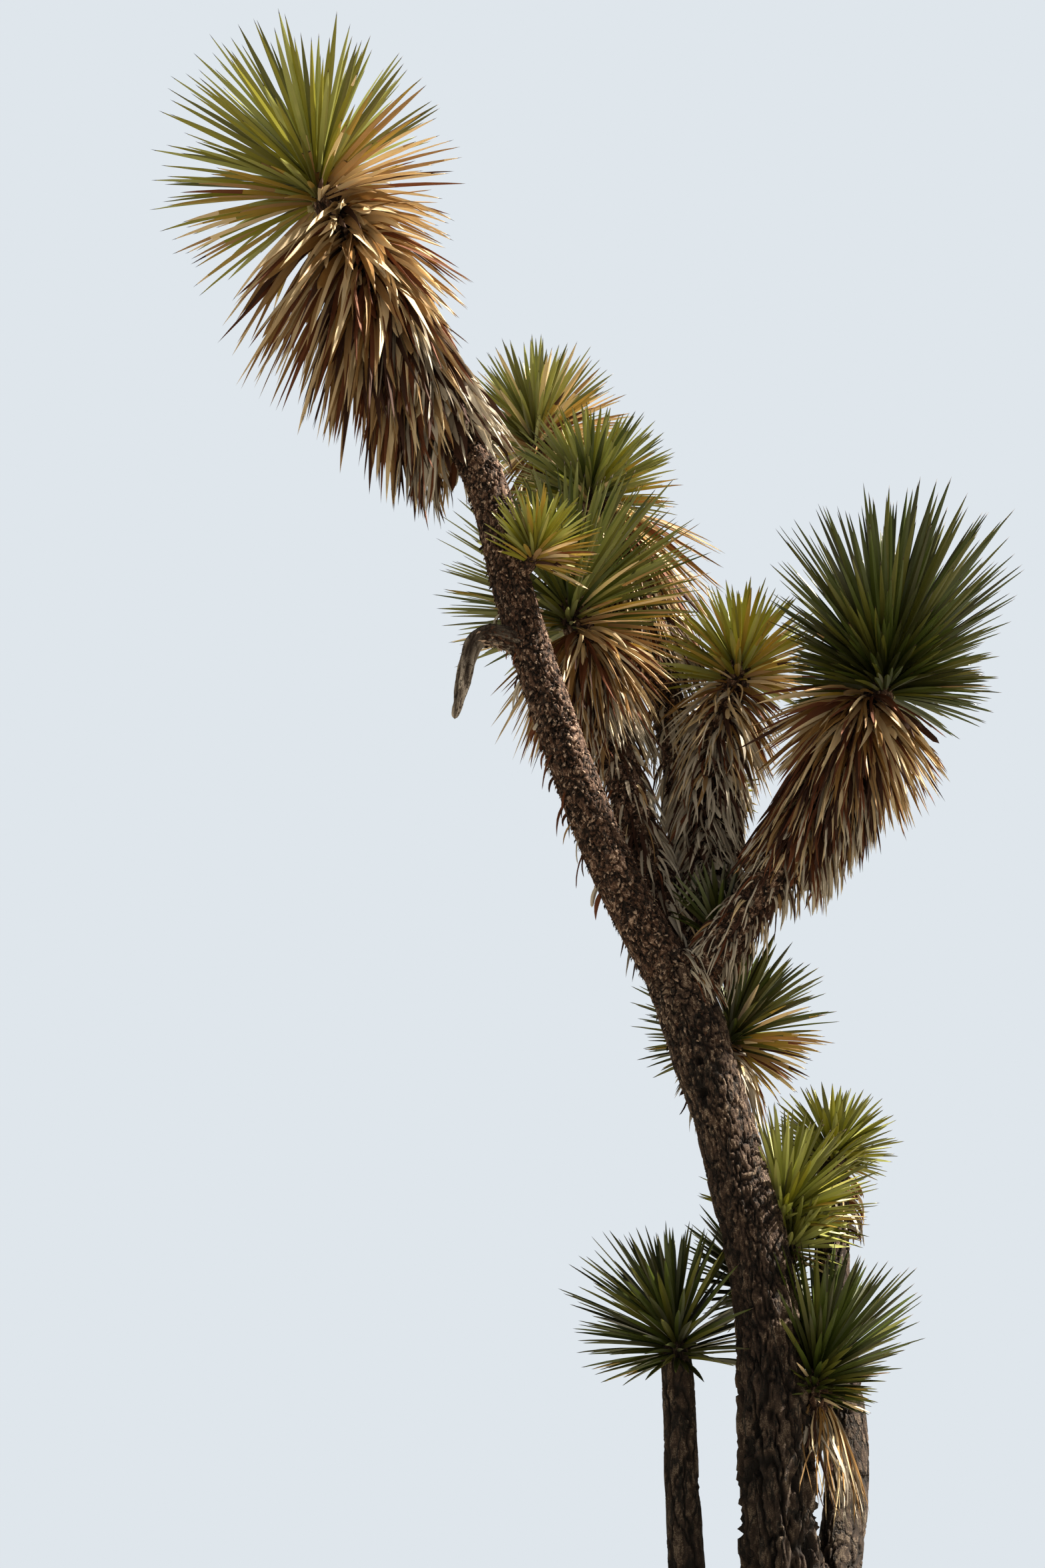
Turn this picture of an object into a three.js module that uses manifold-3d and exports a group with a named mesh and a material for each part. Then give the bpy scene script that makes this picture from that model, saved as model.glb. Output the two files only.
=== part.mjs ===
// A tree yucca (palma china) about six metres tall, in millimetres.
// Z is up, the ground is Z = 0, and the origin is the middle of the flat cut under the trunk.
// The trunk leans and forks into five arms; a sixth arm forks off one of them, and two rise from the foot of
// the trunk. An arm is a bare bough, then a skirt of dead hanging leaves round its upper part, then a rosette
// of stiff living leaves on its tip. Short shoots with a rosette sit on the trunk and on two of the arms.

import * as THREE from "three";
import { mergeVertices } from "three/addons/utils/BufferGeometryUtils.js";
import Module from "manifold-3d";

const wasm = await Module();
wasm.setup();

// Sizes shared by the whole plant
const clearance = 0.3; // between two neighbouring solids
const fullLeaf = 540; // the length of a full-sized living leaf
const leafWidth = 52; // of such a leaf, at its widest
const fullDeadLeaf = 450;
const deadLeafWidth = 50;
const leafThickness = 7;
const widestAt = 0.36; // the share of a leaf's length at which it is widest
const goldenAngle = Math.PI * (3 - Math.sqrt(5)); // from one leaf to the next round the stem
const leafGuard = 3; // a leaf keeps this far from all other solids
const attempts = 5; // places tried for a leaf before it is left out
const groundFlare = { lobes: 5, depth: 0.11, height: 260 }; // the root flare's buttresses

// The ridges of old cork on the trunk: how many, how high they stand and how deep the furrows between them
// are, how much and over what height that varies, how far a ridge turns round the trunk in each millimetre
// of height, and the heights between which they fade out
const ridges = { count: 12, depth: 10, uneven: 0.3, wave: 310, twist: 0.0003, fade: [1200, 2700] };

// What a rosette or a skirt does unless it says otherwise. Ages run from 0, the heart, to 1, the lowest leaf.
const usualCrown = 0.27; // the height of stem that bears a rosette, as a share of its leaves' length
const usualOldest = 0.86; // the lowest leaves' length, as a share of the rosette's longest
const usualFade = [0.3, 1]; // the ages between which a rosette's leaves get shorter
const usualShort = 0.62; // a skirt's lowest leaves' length, as a share of its longest
const usualFoot = 0.3; // how much a skirt's lowest leaves point out of the limb as against down
const evenly = new THREE.Vector3(0, 0, 0); // leaves as long on one side as on the other

const colours = {
  bark: 0x4a3a30,
  youngBark: 0x5c4a3c,
  greyWood: 0x7d7468,
  green: 0x66763a,
  deepGreen: 0x4c6130,
  goldGreen: 0x8c8a3c,
  dead: 0x9a7650,
  deadGrey: 0x8f8374,
};

const at = (x, y, z) => new THREE.Vector3(x, y, z);
const down = at(0, 0, -1);
const towardsViewer = at(0, -1, 0);

// The trunk, from the ground to the knuckle of the fork. Each radius belongs to one point of the route.
const trunk = {
  name: "trunk",
  route: [
    at(0, 0, 0),
    at(-4, 0, 260),
    at(-32, 0, 900),
    at(-66, 0, 1600),
    at(-80, -3, 2200),
    at(-150, -18, 2560),
    at(-256, -40, 2930),
    at(-306, -46, 3075),
  ],
  radii: [225, 152, 112, 84, 77, 73, 77, 76],
  sides: 2 * ridges.count,
  rows: 18,
  tipShare: 0.72, // the knuckle rounds off to this share of its radius
  onGround: true,
  colour: colours.bark,
};

// Arms that end in a rosette. A skirt's height is the stretch of the arm that it covers, under the rosette;
// its lift is how far above its lower end the lowest leaves sit, and its flare is how much the highest
// point out of the limb as against down. Without a skirt, the bough goes on to the rosette. Widest is the
// lean of the lowest living leaves, in degrees. Fuller points to where the leaves are longer.
const arms = [
  {
    name: "left",
    route: [
      at(-270, -42, 2960),
      at(-445, -75, 3301),
      at(-580, -120, 3660),
      at(-698, -160, 4032),
      at(-788, -195, 4389),
      at(-1022, -235, 4810),
      at(-1272, -273, 5330),
    ],
    radii: [63, 58, 54, 53, 54, 52, 48],
    rows: 12,
    rosette: {
      leaves: 49,
      length: 465,
      axis: at(-0.12, -0.12, 1),
      widest: 112,
      fuller: at(-0.07, 0, 0),
      colour: colours.goldGreen,
    },
    skirt: {
      height: 1060,
      leaves: 49,
      length: 440,
      flare: 3,
      lift: 245,
      short: 0.45,
      fuller: at(-0.16, 0, 0),
      core: 98,
      colour: colours.dead,
    },
  },
  {
    name: "right",
    route: [
      at(-240, -30, 2990),
      at(-140, -55, 3120),
      at(48, -100, 3367),
      at(190, -112, 3620),
      at(298, -115, 3850),
    ],
    radii: [58, 55, 52, 50, 50],
    rows: 4,
    rosette: {
      leaves: 53,
      length: 565,
      axis: at(0.08, -0.1, 1),
      widest: 97,
      oldest: 0.49,
      fade: [0.02, 0.62],
      fuller: at(0.05, 0, 0),
      crown: 0.16,
      colour: colours.deepGreen,
    },
    skirt: {
      height: 655,
      leaves: 37,
      length: 305,
      flare: 3,
      foot: 0.1,
      lift: 130,
      short: 0.42,
      fuller: at(-0.15, 0, 0),
      core: 90,
      colour: colours.dead,
    },
  },
  {
    name: "front_middle",
    route: [
      at(-262, 0, 2990),
      at(-325, 95, 3290),
      at(-384, 130, 3562),
      at(-470, 152, 3900),
      at(-542, 166, 4200),
    ],
    radii: [56, 54, 50, 46, 44],
    rows: 6,
    rosette: {
      leaves: 32,
      length: 445,
      axis: at(0.02, -0.2, 1),
      widest: 104,
      oldest: 0.74,
      colour: colours.green,
    },
    skirt: {
      height: 350,
      leaves: 26,
      length: 350,
      flare: 2.2,
      lift: 60,
      short: 0.55,
      core: 74,
      colour: colours.dead,
    },
  },
  {
    name: "back_middle",
    route: [
      at(-235, 0, 2990),
      at(-222, 190, 3320),
      at(-225, 300, 3698),
      at(-275, 360, 4020),
      at(-365, 412, 4340),
      at(-470, 452, 4705),
    ],
    radii: [56, 54, 50, 48, 46, 44],
    rows: 8,
    rosette: { leaves: 30, length: 290, axis: at(0.12, -0.12, 1), widest: 100, colour: colours.green },
    skirt: {
      height: 640,
      leaves: 28,
      length: 415,
      flare: 2.3,
      lift: 110,
      short: 0.6,
      fuller: at(0.14, 0, 0),
      core: 76,
      colour: colours.dead,
    },
  },
  {
    name: "right_middle",
    route: [
      at(-222, 0, 2990),
      at(-170, 95, 3290),
      at(-168, 160, 3560),
      at(-120, 200, 3805),
      at(-58, 211, 4010),
    ],
    radii: [50, 48, 46, 44, 42],
    rows: 4,
    rosette: { leaves: 28, length: 268, axis: at(0.15, -0.12, 1), widest: 98, colour: colours.goldGreen },
    skirt: {
      height: 745,
      leaves: 26,
      length: 215,
      flare: 2.3,
      short: 0.5,
      core: 66,
      colour: colours.deadGrey,
    },
  },
  {
    name: "upper_middle",
    route: [
      at(-232, 318, 3790),
      at(-285, 425, 4050),
      at(-400, 530, 4370),
      at(-540, 640, 4720),
      at(-635, 737, 5070),
    ],
    radii: [42, 42, 41, 40, 38],
    rows: 6,
    rosette: { leaves: 24, length: 325, axis: at(0.05, -0.05, 1), widest: 96, colour: colours.green },
    skirt: { height: 340, leaves: 12, length: 300, flare: 1.8, core: 56, colour: colours.dead },
  },
  {
    name: "second",
    route: [at(-34, 6, 960), at(48, 66, 1420), at(134, 200, 1812), at(130, 280, 2231), at(155, 330, 2640)],
    radii: [62, 56, 52, 47, 40],
    rows: 8,
    rosette: {
      leaves: 20,
      length: 200,
      axis: at(0.1, -0.05, 1),
      widest: 102,
      oldest: 0.65,
      colour: colours.goldGreen,
    },
    skirt: { height: 190, leaves: 8, length: 90, flare: 0.4, core: 52, colour: colours.deadGrey },
  },
  {
    name: "low",
    route: [at(-14, 8, 430), at(-160, 66, 760), at(-262, 108, 1300), at(-296, 120, 2140)],
    radii: [60, 50, 44, 38],
    rows: 7,
    rosette: {
      leaves: 20,
      length: 320,
      axis: at(-0.12, -0.15, 1),
      widest: 100,
      oldest: 0.65,
      colour: colours.deepGreen,
    },
  },
];

// Short side shoots: a rosette close to the limb that bears it, with or without dead leaves under it
const shoots = [
  {
    name: "fork",
    route: [at(-190, -25, 3055), at(-172, -12, 3110), at(-165, -5, 3165)],
    radii: [18, 17, 16],
    rosette: { leaves: 9, length: 200, axis: at(-0.05, 0, 1), widest: 58, colour: colours.deepGreen },
  },
  {
    name: "small_front",
    route: [at(-715, -176, 4085), at(-670, -198, 4120), at(-640, -206, 4165)],
    radii: [26, 24, 24],
    rosette: { leaves: 14, length: 195, axis: at(0.4, -0.4, 1), widest: 88, colour: colours.goldGreen },
  },
  {
    name: "behind_middle",
    route: [at(-222, 300, 3640), at(-195, 385, 3680), at(-160, 445, 3710)],
    radii: [30, 28, 26],
    rosette: { leaves: 12, length: 190, axis: at(1, 0.2, 0.1), widest: 75, colour: colours.goldGreen },
  },
  {
    name: "upper_trunk",
    route: [at(-222, -32, 2765), at(-152, 100, 2805), at(-122, 145, 2930)],
    radii: [40, 38, 36],
    rosette: {
      leaves: 29,
      length: 300,
      axis: at(0.25, 0.1, 1),
      widest: 109,
      oldest: 0.72,
      fuller: at(-0.05, 0, 0),
      colour: colours.green,
    },
    skirt: {
      leaves: 8,
      length: 190,
      flare: 0.8,
      lift: 70,
      fuller: at(0.3, 0, 0),
      core: 42,
      colour: colours.deadGrey,
    },
  },
  {
    name: "middle_trunk",
    route: [at(-100, -8, 2330), at(-35, 80, 2395), at(-6, 110, 2455)],
    radii: [38, 36, 34],
    rosette: {
      leaves: 24,
      length: 280,
      axis: at(0.3, -0.1, 1),
      widest: 82,
      oldest: 0.8,
      colour: colours.green,
    },
  },
  {
    name: "small_trunk",
    route: [at(-85, -4, 2265), at(-20, 30, 2300), at(5, 45, 2345)],
    radii: [26, 24, 22],
    rosette: { leaves: 9, length: 160, axis: at(0.7, -0.3, 0.8), widest: 75, colour: colours.green },
  },
  {
    name: "lower_trunk",
    route: [at(-72, 0, 1835), at(20, 12, 1890), at(48, 18, 2045)],
    radii: [42, 40, 38],
    rosette: {
      leaves: 30,
      length: 350,
      axis: at(0.25, -0.1, 1),
      widest: 92,
      oldest: 0.42,
      fade: [0.15, 0.75],
      fuller: at(0, 0.05, 0),
      colour: colours.green,
    },
    skirt: { leaves: 10, length: 300, flare: 0.35, lift: 130, core: 44, colour: colours.deadGrey },
  },
  {
    name: "behind_trunk",
    route: [at(-80, -3, 2120), at(-70, 180, 2190), at(-60, 290, 2280)],
    radii: [36, 34, 32],
    rosette: {
      leaves: 20,
      length: 255,
      axis: at(-0.1, 0.2, 1),
      widest: 104,
      oldest: 0.6,
      fade: [0.15, 0.8],
      colour: colours.deepGreen,
    },
  },
];

// The broken dead shoot that hangs from the left bough
const deadStub = {
  name: "dead_stub",
  route: [
    at(-690, -162, 3905),
    at(-764, -182, 3918),
    at(-808, -192, 3890),
    at(-834, -195, 3790),
    at(-858, -195, 3670),
  ],
  radii: [31, 28, 23, 19, 7],
  sides: 8,
  rows: 8,
  tipShare: 0.8,
  colour: colours.greyWood,
};

// A seeded row of numbers from 0 to 1
function seeded(seed) {
  let state = seed;
  return () => {
    state = (state * 16807) % 2147483647;
    return state / 2147483647;
  };
}

const mix = (a, b, share) => a + (b - a) * share;

// A closed geometry as a solid
function solidOf(geometry) {
  geometry.deleteAttribute("normal");
  geometry.deleteAttribute("uv");
  const merged = mergeVertices(geometry);
  return new wasm.Manifold(
    new wasm.Mesh({
      numProp: 3,
      vertProperties: merged.attributes.position.array,
      triVerts: new Uint32Array(merged.index.array),
    }),
  );
}

// The middle, direction and two cross directions of a limb at a share of its route
function frameAt(limb, share) {
  limb.curve ??= new THREE.CatmullRomCurve3(limb.route);
  const ahead = limb.curve.getTangent(share);
  const front = towardsViewer.clone().addScaledVector(ahead, -ahead.dot(towardsViewer)).normalize();
  return { middle: limb.curve.getPoint(share), ahead, front, side: ahead.clone().cross(front) };
}

// The share of a limb's route that lies a distance short of its tip
function shareShortOfTip(limb, distance) {
  limb.curve ??= new THREE.CatmullRomCurve3(limb.route);
  return limb.curve.getUtoTmapping(1 - distance / limb.curve.getLength());
}

// The shares of a limb's route at the foot of its crown of living leaves, at the foot of its skirt and at the
// skirt's lowest leaves. A shoot's skirt goes all the way down.
const crownHeight = (limb) => limb.rosette.length * (limb.rosette.crown ?? usualCrown);
const crownFrom = (limb) => shareShortOfTip(limb, crownHeight(limb));
const skirtHeight = (limb) => limb.skirt.height ?? limb.curve.getLength() - crownHeight(limb);
const skirtFrom = (limb) => (limb.rows ? shareShortOfTip(limb, crownHeight(limb) + limb.skirt.height) : 0);
const crownFoot = (limb) => (limb.skirt || limb.rows ? crownFrom(limb) : 0);
const lowestLeaf = (limb) =>
  shareShortOfTip(limb, crownHeight(limb) + skirtHeight(limb) - (limb.skirt.lift ?? 0));

function radiusAt(limb, share) {
  const place = Math.min(Math.max(share, 0), 1) * (limb.radii.length - 1);
  const before = Math.min(Math.floor(place), limb.radii.length - 2);
  return mix(limb.radii[before], limb.radii[before + 1], place - before);
}

// The direction out of a limb at a turn round it
function outward(frame, turn) {
  return frame.front.clone().multiplyScalar(Math.cos(turn)).addScaledVector(frame.side, Math.sin(turn));
}

// The buttresses of the root flare, as a factor on the radius
function flareAt(limb, turn, height) {
  if (!limb.onGround) return 1;
  const fade = Math.exp(-height / groundFlare.height);
  return 1 + groundFlare.depth * fade * Math.cos(groundFlare.lobes * turn);
}

// How far the cork stands out of a limb's surface. The turn is counted from a ridge, as if none twisted.
function ridgeAt(limb, turn, height) {
  if (!limb.onGround) return 0;
  const fade = 1 - THREE.MathUtils.smoothstep(height, ...ridges.fade);
  const uneven = 1 + ridges.uneven * Math.sin(2 * turn + height / ridges.wave);
  return ridges.depth * fade * uneven * Math.cos(ridges.count * turn);
}

// A tapered tube along a limb, between two shares of its route. swell gives a factor on the radius, by the
// share of the tube. grow makes a tube that much larger all round, to cut its neighbours clear of it.
function tube(limb, { from = 0, to = 1, sides = 10, rows = 4, swell = () => 1, grow = 0 }) {
  const geometry = new THREE.CylinderGeometry(1, 1, 1, sides, rows);
  const position = geometry.attributes.position;
  for (let i = 0; i < position.count; i += 1) {
    const level = position.getY(i) + 0.5;
    const frame = frameAt(limb, mix(from, to, level));
    const [x, z] = [position.getX(i), position.getZ(i)];
    const corner = Math.atan2(x, z);
    const turn = corner + (limb.onGround ? ridges.twist * frame.middle.z : 0);
    const round = radiusAt(limb, mix(from, to, level)) * swell(level) * flareAt(limb, turn, frame.middle.z);
    const radius = round + ridgeAt(limb, corner, frame.middle.z) + grow;
    const point = frame.middle.clone().addScaledVector(outward(frame, turn), Math.hypot(x, z) * radius);
    const endShift = grow > 0 ? -grow : clearance / 2;
    if (level < 1e-6) point.addScaledVector(frame.ahead, endShift);
    if (level > 1 - 1e-6) point.addScaledVector(frame.ahead, -endShift);
    if (limb.onGround && level < 1e-6) point.z = -grow;
    position.setXYZ(i, point.x, point.y, point.z);
  }
  return solidOf(geometry);
}

// A swell that rounds the last part of a tube off to a share of its radius
const lastPart = 0.15;
const rounded = (tipShare) => (level) => {
  const last = Math.max(0, (level - 1 + lastPart) / lastPart);
  return mix(1, tipShare, last * last);
};

// A leaf of eight faces: pointed at its root and tip, widest at the bend between them
function blade({ root, bend, tip, side, width, thickness }, grow = 0) {
  const along = tip.clone().sub(root).normalize();
  const across = side.clone().addScaledVector(along, -along.dot(side)).normalize();
  const normal = across.clone().cross(along);
  const geometry = new THREE.OctahedronGeometry(1, 0);
  const position = geometry.attributes.position;
  for (let i = 0; i < position.count; i += 1) {
    const [x, y, z] = [position.getX(i), position.getY(i), position.getZ(i)];
    const point = y > 0.5 ? tip.clone() : y < -0.5 ? root.clone() : bend.clone();
    point.addScaledVector(across, x * (width / 2 + grow));
    point.addScaledVector(along, y * grow);
    point.addScaledVector(normal, z * (thickness / 2 + grow));
    position.setXYZ(i, point.x, point.y, point.z);
  }
  return solidOf(geometry);
}

// The living leaves of a rosette: a golden-angle spiral from the upright heart down to the oldest leaves. The
// roots come down the stem and out from its middle with age, and stay a little above the foot of the crown.
const growing = {
  heartLean: 5, // in degrees
  youngest: 0.84, // a leaf's length as it opens, as a share of full length
  rootsDown: 0.86,
  rootsOut: 0.35,
  unevenTurn: 0.3,
  uneven: [0.95, 1.03],
  narrowest: 0.6, // the width of a very short leaf, as a share of a full one's
  nextTurn: 0.13, // each further attempt turns a leaf on and raises it
  nextRise: 0.03,
};

function rosetteLeaves(limb, seed) {
  const { leaves, length, axis, widest } = limb.rosette;
  const { oldest = usualOldest, fade = usualFade, fuller = evenly } = limb.rosette;
  const random = seeded(seed);
  const heart = frameAt(limb, 1);
  const up = axis.clone().normalize();
  const ring = { front: null, side: null };
  ring.front = towardsViewer.clone().addScaledVector(up, -up.dot(towardsViewer)).normalize();
  ring.side = up.clone().cross(ring.front);
  const heartCos = Math.cos(THREE.MathUtils.degToRad(growing.heartLean));
  const widestCos = Math.cos(THREE.MathUtils.degToRad(widest));
  const depth = crownHeight(limb) * growing.rootsDown;
  return Array.from({ length: leaves }, (_, i) => {
    const age = (i + 0.5) / leaves;
    const firstTurn = i * goldenAngle + random() * growing.unevenTurn;
    const grown = Math.min(1, growing.youngest + age);
    const ageing = THREE.MathUtils.smoothstep(age, ...fade);
    const evenSize = length * grown * mix(1, oldest, ageing) * mix(...growing.uneven, random());
    return (attempt) => {
      const turn = firstTurn + attempt * growing.nextTurn;
      const cos = mix(heartCos, widestCos, age) + attempt * growing.nextRise;
      const lean = Math.acos(Math.min(cos, 1));
      const out = outward(ring, turn);
      const size = evenSize * (1 + out.dot(fuller));
      const direction = up.clone().multiplyScalar(Math.cos(lean)).addScaledVector(out, Math.sin(lean));
      const root = heart.middle.clone().addScaledVector(up, -depth * age);
      root.addScaledVector(out, limb.radii.at(-1) * growing.rootsOut * Math.sqrt(age));
      const tip = root.clone().addScaledVector(direction, size);
      const bend = root.clone().addScaledVector(direction, size * widestAt);
      const side = outward(ring, turn + Math.PI / 2);
      const width = leafWidth * mix(growing.narrowest, 1, size / fullLeaf);
      return { root, bend, tip, side, width, thickness: leafThickness };
    };
  });
}

// The dead leaves of a skirt: folded down at the stem, hanging by their weight, and lying on the limb where
// it is under them. Levels run from 0, the skirt's foot, to 1. Lengths are shares of a leaf's length.
const hanging = {
  levels: [0.04, 0.98],
  unevenTurn: 0.5,
  uneven: [0.88, 1.05],
  gathering: 5, // the higher, the fewer of a skirt's leaves stand out like its highest
  trailAbove: 0.5, // how much it follows the limb down, on the limb's upper side and under it
  trailBelow: 0.1,
  leastOut: 0.2, // no leaf points into the limb
  offLimb: 28, // the bend's distance from the limb, in millimetres
  toBend: 0.3,
  toTip: 0.6,
  droop: 0.08,
  narrowest: 0.7, // the width of a very short leaf, as a share of a full one's
  nextTurn: 0.17, // each further attempt turns a leaf on, and the last one spreads it only this much
  lastSpread: 0.5,
};

function skirtLeaves(limb, seed) {
  const { leaves, length, flare, foot = usualFoot, short = usualShort, fuller = evenly } = limb.skirt;
  const [lowest, highest] = [lowestLeaf(limb), crownFrom(limb)];
  const random = seeded(seed);
  return Array.from({ length: leaves }, (_, i) => {
    const level = 1 - (i + 0.5) / leaves;
    const firstTurn = i * goldenAngle + random() * hanging.unevenTurn;
    const evenSize = length * mix(short, 1, Math.sqrt(level)) * mix(...hanging.uneven, random());
    return (attempt) => {
      const share = mix(lowest, highest, mix(...hanging.levels, level));
      const frame = frameAt(limb, share);
      const radius = radiusAt(limb, share);
      const turn = firstTurn + attempt * hanging.nextTurn;
      const out = outward(frame, turn);
      const size = evenSize * (1 + out.dot(fuller));
      const narrowing = mix(1, hanging.lastSpread, attempt / attempts);
      const spread = mix(foot, flare, level ** hanging.gathering) * narrowing;
      const trail = mix(hanging.trailAbove, hanging.trailBelow, Math.max(0, out.dot(down)));
      const direction = down.clone().addScaledVector(frame.ahead, -trail);
      direction.addScaledVector(out, spread).normalize();
      const missing = Math.max(0, hanging.leastOut - direction.dot(out));
      direction.addScaledVector(out, missing).normalize();
      const root = frame.middle.clone().addScaledVector(out, radius / 2);
      const bend = root.clone().addScaledVector(out, radius / 2 + hanging.offLimb);
      bend.addScaledVector(direction, size * hanging.toBend);
      const tip = bend.clone().addScaledVector(direction, size * hanging.toTip);
      tip.addScaledVector(down, size * hanging.droop);
      const side = outward(frame, turn + Math.PI / 2);
      const width = deadLeafWidth * mix(hanging.narrowest, 1, size / fullDeadLeaf);
      return { root, bend, tip, side, width, thickness: leafThickness };
    };
  });
}

// Every solid so far, by name
const solids = new Map();
const colourOf = new Map();

function keep(name, solid, colour) {
  solids.set(name, solid);
  colourOf.set(name, colour);
}

// The largest body of a solid, without loose scraps and without sealed hollows
function wholeBody(solid) {
  return solid.decompose().reduce((a, b) => (b.volume() > a.volume() ? b : a));
}

// A limb is cut clear of every limb made before it
const grownLimbs = [];

function addLimb(name, limb, shape, colour) {
  let solid = tube(limb, shape);
  for (const other of grownLimbs) {
    solid = solid.subtract(other);
  }
  keep(name, wholeBody(solid), colour);
  grownLimbs.push(tube(limb, { ...shape, grow: clearance }));
}

function addCore(name, limb, shape, colour) {
  let solid = tube(limb, shape);
  for (const other of grownLimbs) {
    solid = solid.subtract(other);
  }
  keep(name, wholeBody(solid), colour);
}

const apart = (a, b) =>
  [0, 1, 2].some((axis) => a.min[axis] > b.max[axis] || b.min[axis] > a.max[axis]);

// Fuses the leaves to their core. A leaf that would touch another solid moves on a little, or is left out.
function addLeaves(name, leaves) {
  const core = solids.get(name);
  const others = [...solids].filter(([other]) => other !== name).map(([, solid]) => solid);
  const boxes = others.map((solid) => solid.boundingBox());
  const pieces = [core];
  for (const leafAt of leaves) {
    for (let attempt = 0; attempt < attempts; attempt += 1) {
      const leaf = leafAt(attempt);
      const guard = blade(leaf, leafGuard);
      const box = guard.boundingBox();
      const free = others.every((other, i) => apart(box, boxes[i]) || other.intersect(guard).isEmpty());
      if (free) {
        pieces.push(blade(leaf));
        break;
      }
    }
  }
  solids.set(name, wholeBody(wasm.Manifold.union(pieces)));
}

// Limbs: the trunk, each arm as far as its skirt or rosette, and the dead stub
function addWholeLimb(limb) {
  const { name, sides, rows, tipShare, colour } = limb;
  addLimb(name, limb, { sides, rows, swell: rounded(tipShare) }, colour);
}

addWholeLimb(trunk);
for (const arm of arms) {
  const shape = { to: arm.skirt ? skirtFrom(arm) : crownFrom(arm), rows: arm.rows };
  addLimb(`${arm.name}_bough`, arm, shape, colours.youngBark);
}
addWholeLimb(deadStub);

// Cores: a skirt's swells in its middle, a rosette's rounds off to half its radius at the heart
const leafy = [...arms, ...shoots];
const skirted = leafy.filter((limb) => limb.skirt);
const bluntness = 0.7; // below 1, a skirt's core swells fast at both its ends
for (const limb of skirted) {
  const fullness = limb.skirt.core / radiusAt(limb, skirtFrom(limb)) - 1;
  const swell = (level) => 1 + fullness * Math.max(0, Math.sin(Math.PI * level)) ** bluntness;
  const shape = { from: skirtFrom(limb), to: crownFrom(limb), sides: 8, rows: limb.rows ? 5 : 2, swell };
  addCore(`${limb.name}_skirt`, limb, shape, limb.skirt.colour);
}
for (const limb of leafy) {
  const shape = { from: crownFoot(limb), sides: 8, rows: 3, swell: rounded(0.5) };
  addCore(`${limb.name}_rosette`, limb, shape, limb.rosette.colour);
}

// Leaves: the living ones first, because they keep their full spread
leafy.forEach((limb, i) => addLeaves(`${limb.name}_rosette`, rosetteLeaves(limb, 101 + 17 * i)));
skirted.forEach((limb, i) => addLeaves(`${limb.name}_skirt`, skirtLeaves(limb, 907 + 13 * i)));

// The plant as a group of named meshes
const plant = new THREE.Group();
for (const [name, solid] of solids) {
  const { vertProperties, triVerts } = solid.getMesh();
  const geometry = new THREE.BufferGeometry();
  geometry.setAttribute("position", new THREE.BufferAttribute(vertProperties, 3));
  geometry.setIndex(new THREE.BufferAttribute(triVerts, 1));
  geometry.computeVertexNormals();
  const finish = { color: colourOf.get(name), roughness: 0.8, metalness: 0 };
  const mesh = new THREE.Mesh(geometry, new THREE.MeshStandardMaterial(finish));
  mesh.name = name;
  plant.add(mesh);
}

export default plant;
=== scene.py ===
import math

import bmesh
import bpy
import numpy as np
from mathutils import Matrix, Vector, noise


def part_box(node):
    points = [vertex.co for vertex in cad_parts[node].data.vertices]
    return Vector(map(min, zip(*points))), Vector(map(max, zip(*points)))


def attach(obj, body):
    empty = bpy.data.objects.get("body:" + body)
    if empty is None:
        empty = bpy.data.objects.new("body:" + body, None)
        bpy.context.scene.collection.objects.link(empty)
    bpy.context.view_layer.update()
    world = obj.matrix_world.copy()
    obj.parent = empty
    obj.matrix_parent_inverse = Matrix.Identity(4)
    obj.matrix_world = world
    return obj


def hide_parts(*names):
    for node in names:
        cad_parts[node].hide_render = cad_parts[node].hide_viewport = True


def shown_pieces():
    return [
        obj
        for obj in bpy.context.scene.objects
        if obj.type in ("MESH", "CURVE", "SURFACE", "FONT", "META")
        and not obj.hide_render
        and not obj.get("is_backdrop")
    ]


# A tree yucca, the palma china, about six metres tall. Z is up and the ground is Z = 0.
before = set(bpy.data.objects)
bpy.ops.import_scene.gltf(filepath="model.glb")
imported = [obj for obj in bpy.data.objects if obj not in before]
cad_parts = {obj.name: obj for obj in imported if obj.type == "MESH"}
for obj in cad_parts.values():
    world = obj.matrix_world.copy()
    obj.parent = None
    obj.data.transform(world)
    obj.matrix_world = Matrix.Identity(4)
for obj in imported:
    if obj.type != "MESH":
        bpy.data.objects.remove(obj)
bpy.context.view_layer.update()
print("frame loaded:", len(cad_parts), "nodes")

# The camera stands at eye level and looks up at the plant
camera = {"place": (-0.6795, -5.5, 1.5), "tiltUp": 20.54, "lens": 50, "longSide": 36}

# A pale studio with one soft key light from the upper right and a weak light from everywhere else
studio = {
    "floorRadius": 30,
    "floorColour": "#85827A",
    "backdropColour": "#DFE6EC",
    "backdropGlow": 1.0,
    "keyFrom": (0.6, -0.06, 0.8),
    "keyStrength": 14,
    "keySoftness": 1.5,
    "keyColour": "#FFF4E2",
    "fillStrength": 0.2,
    "fillColour": "#E6E6E6",
}

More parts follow.
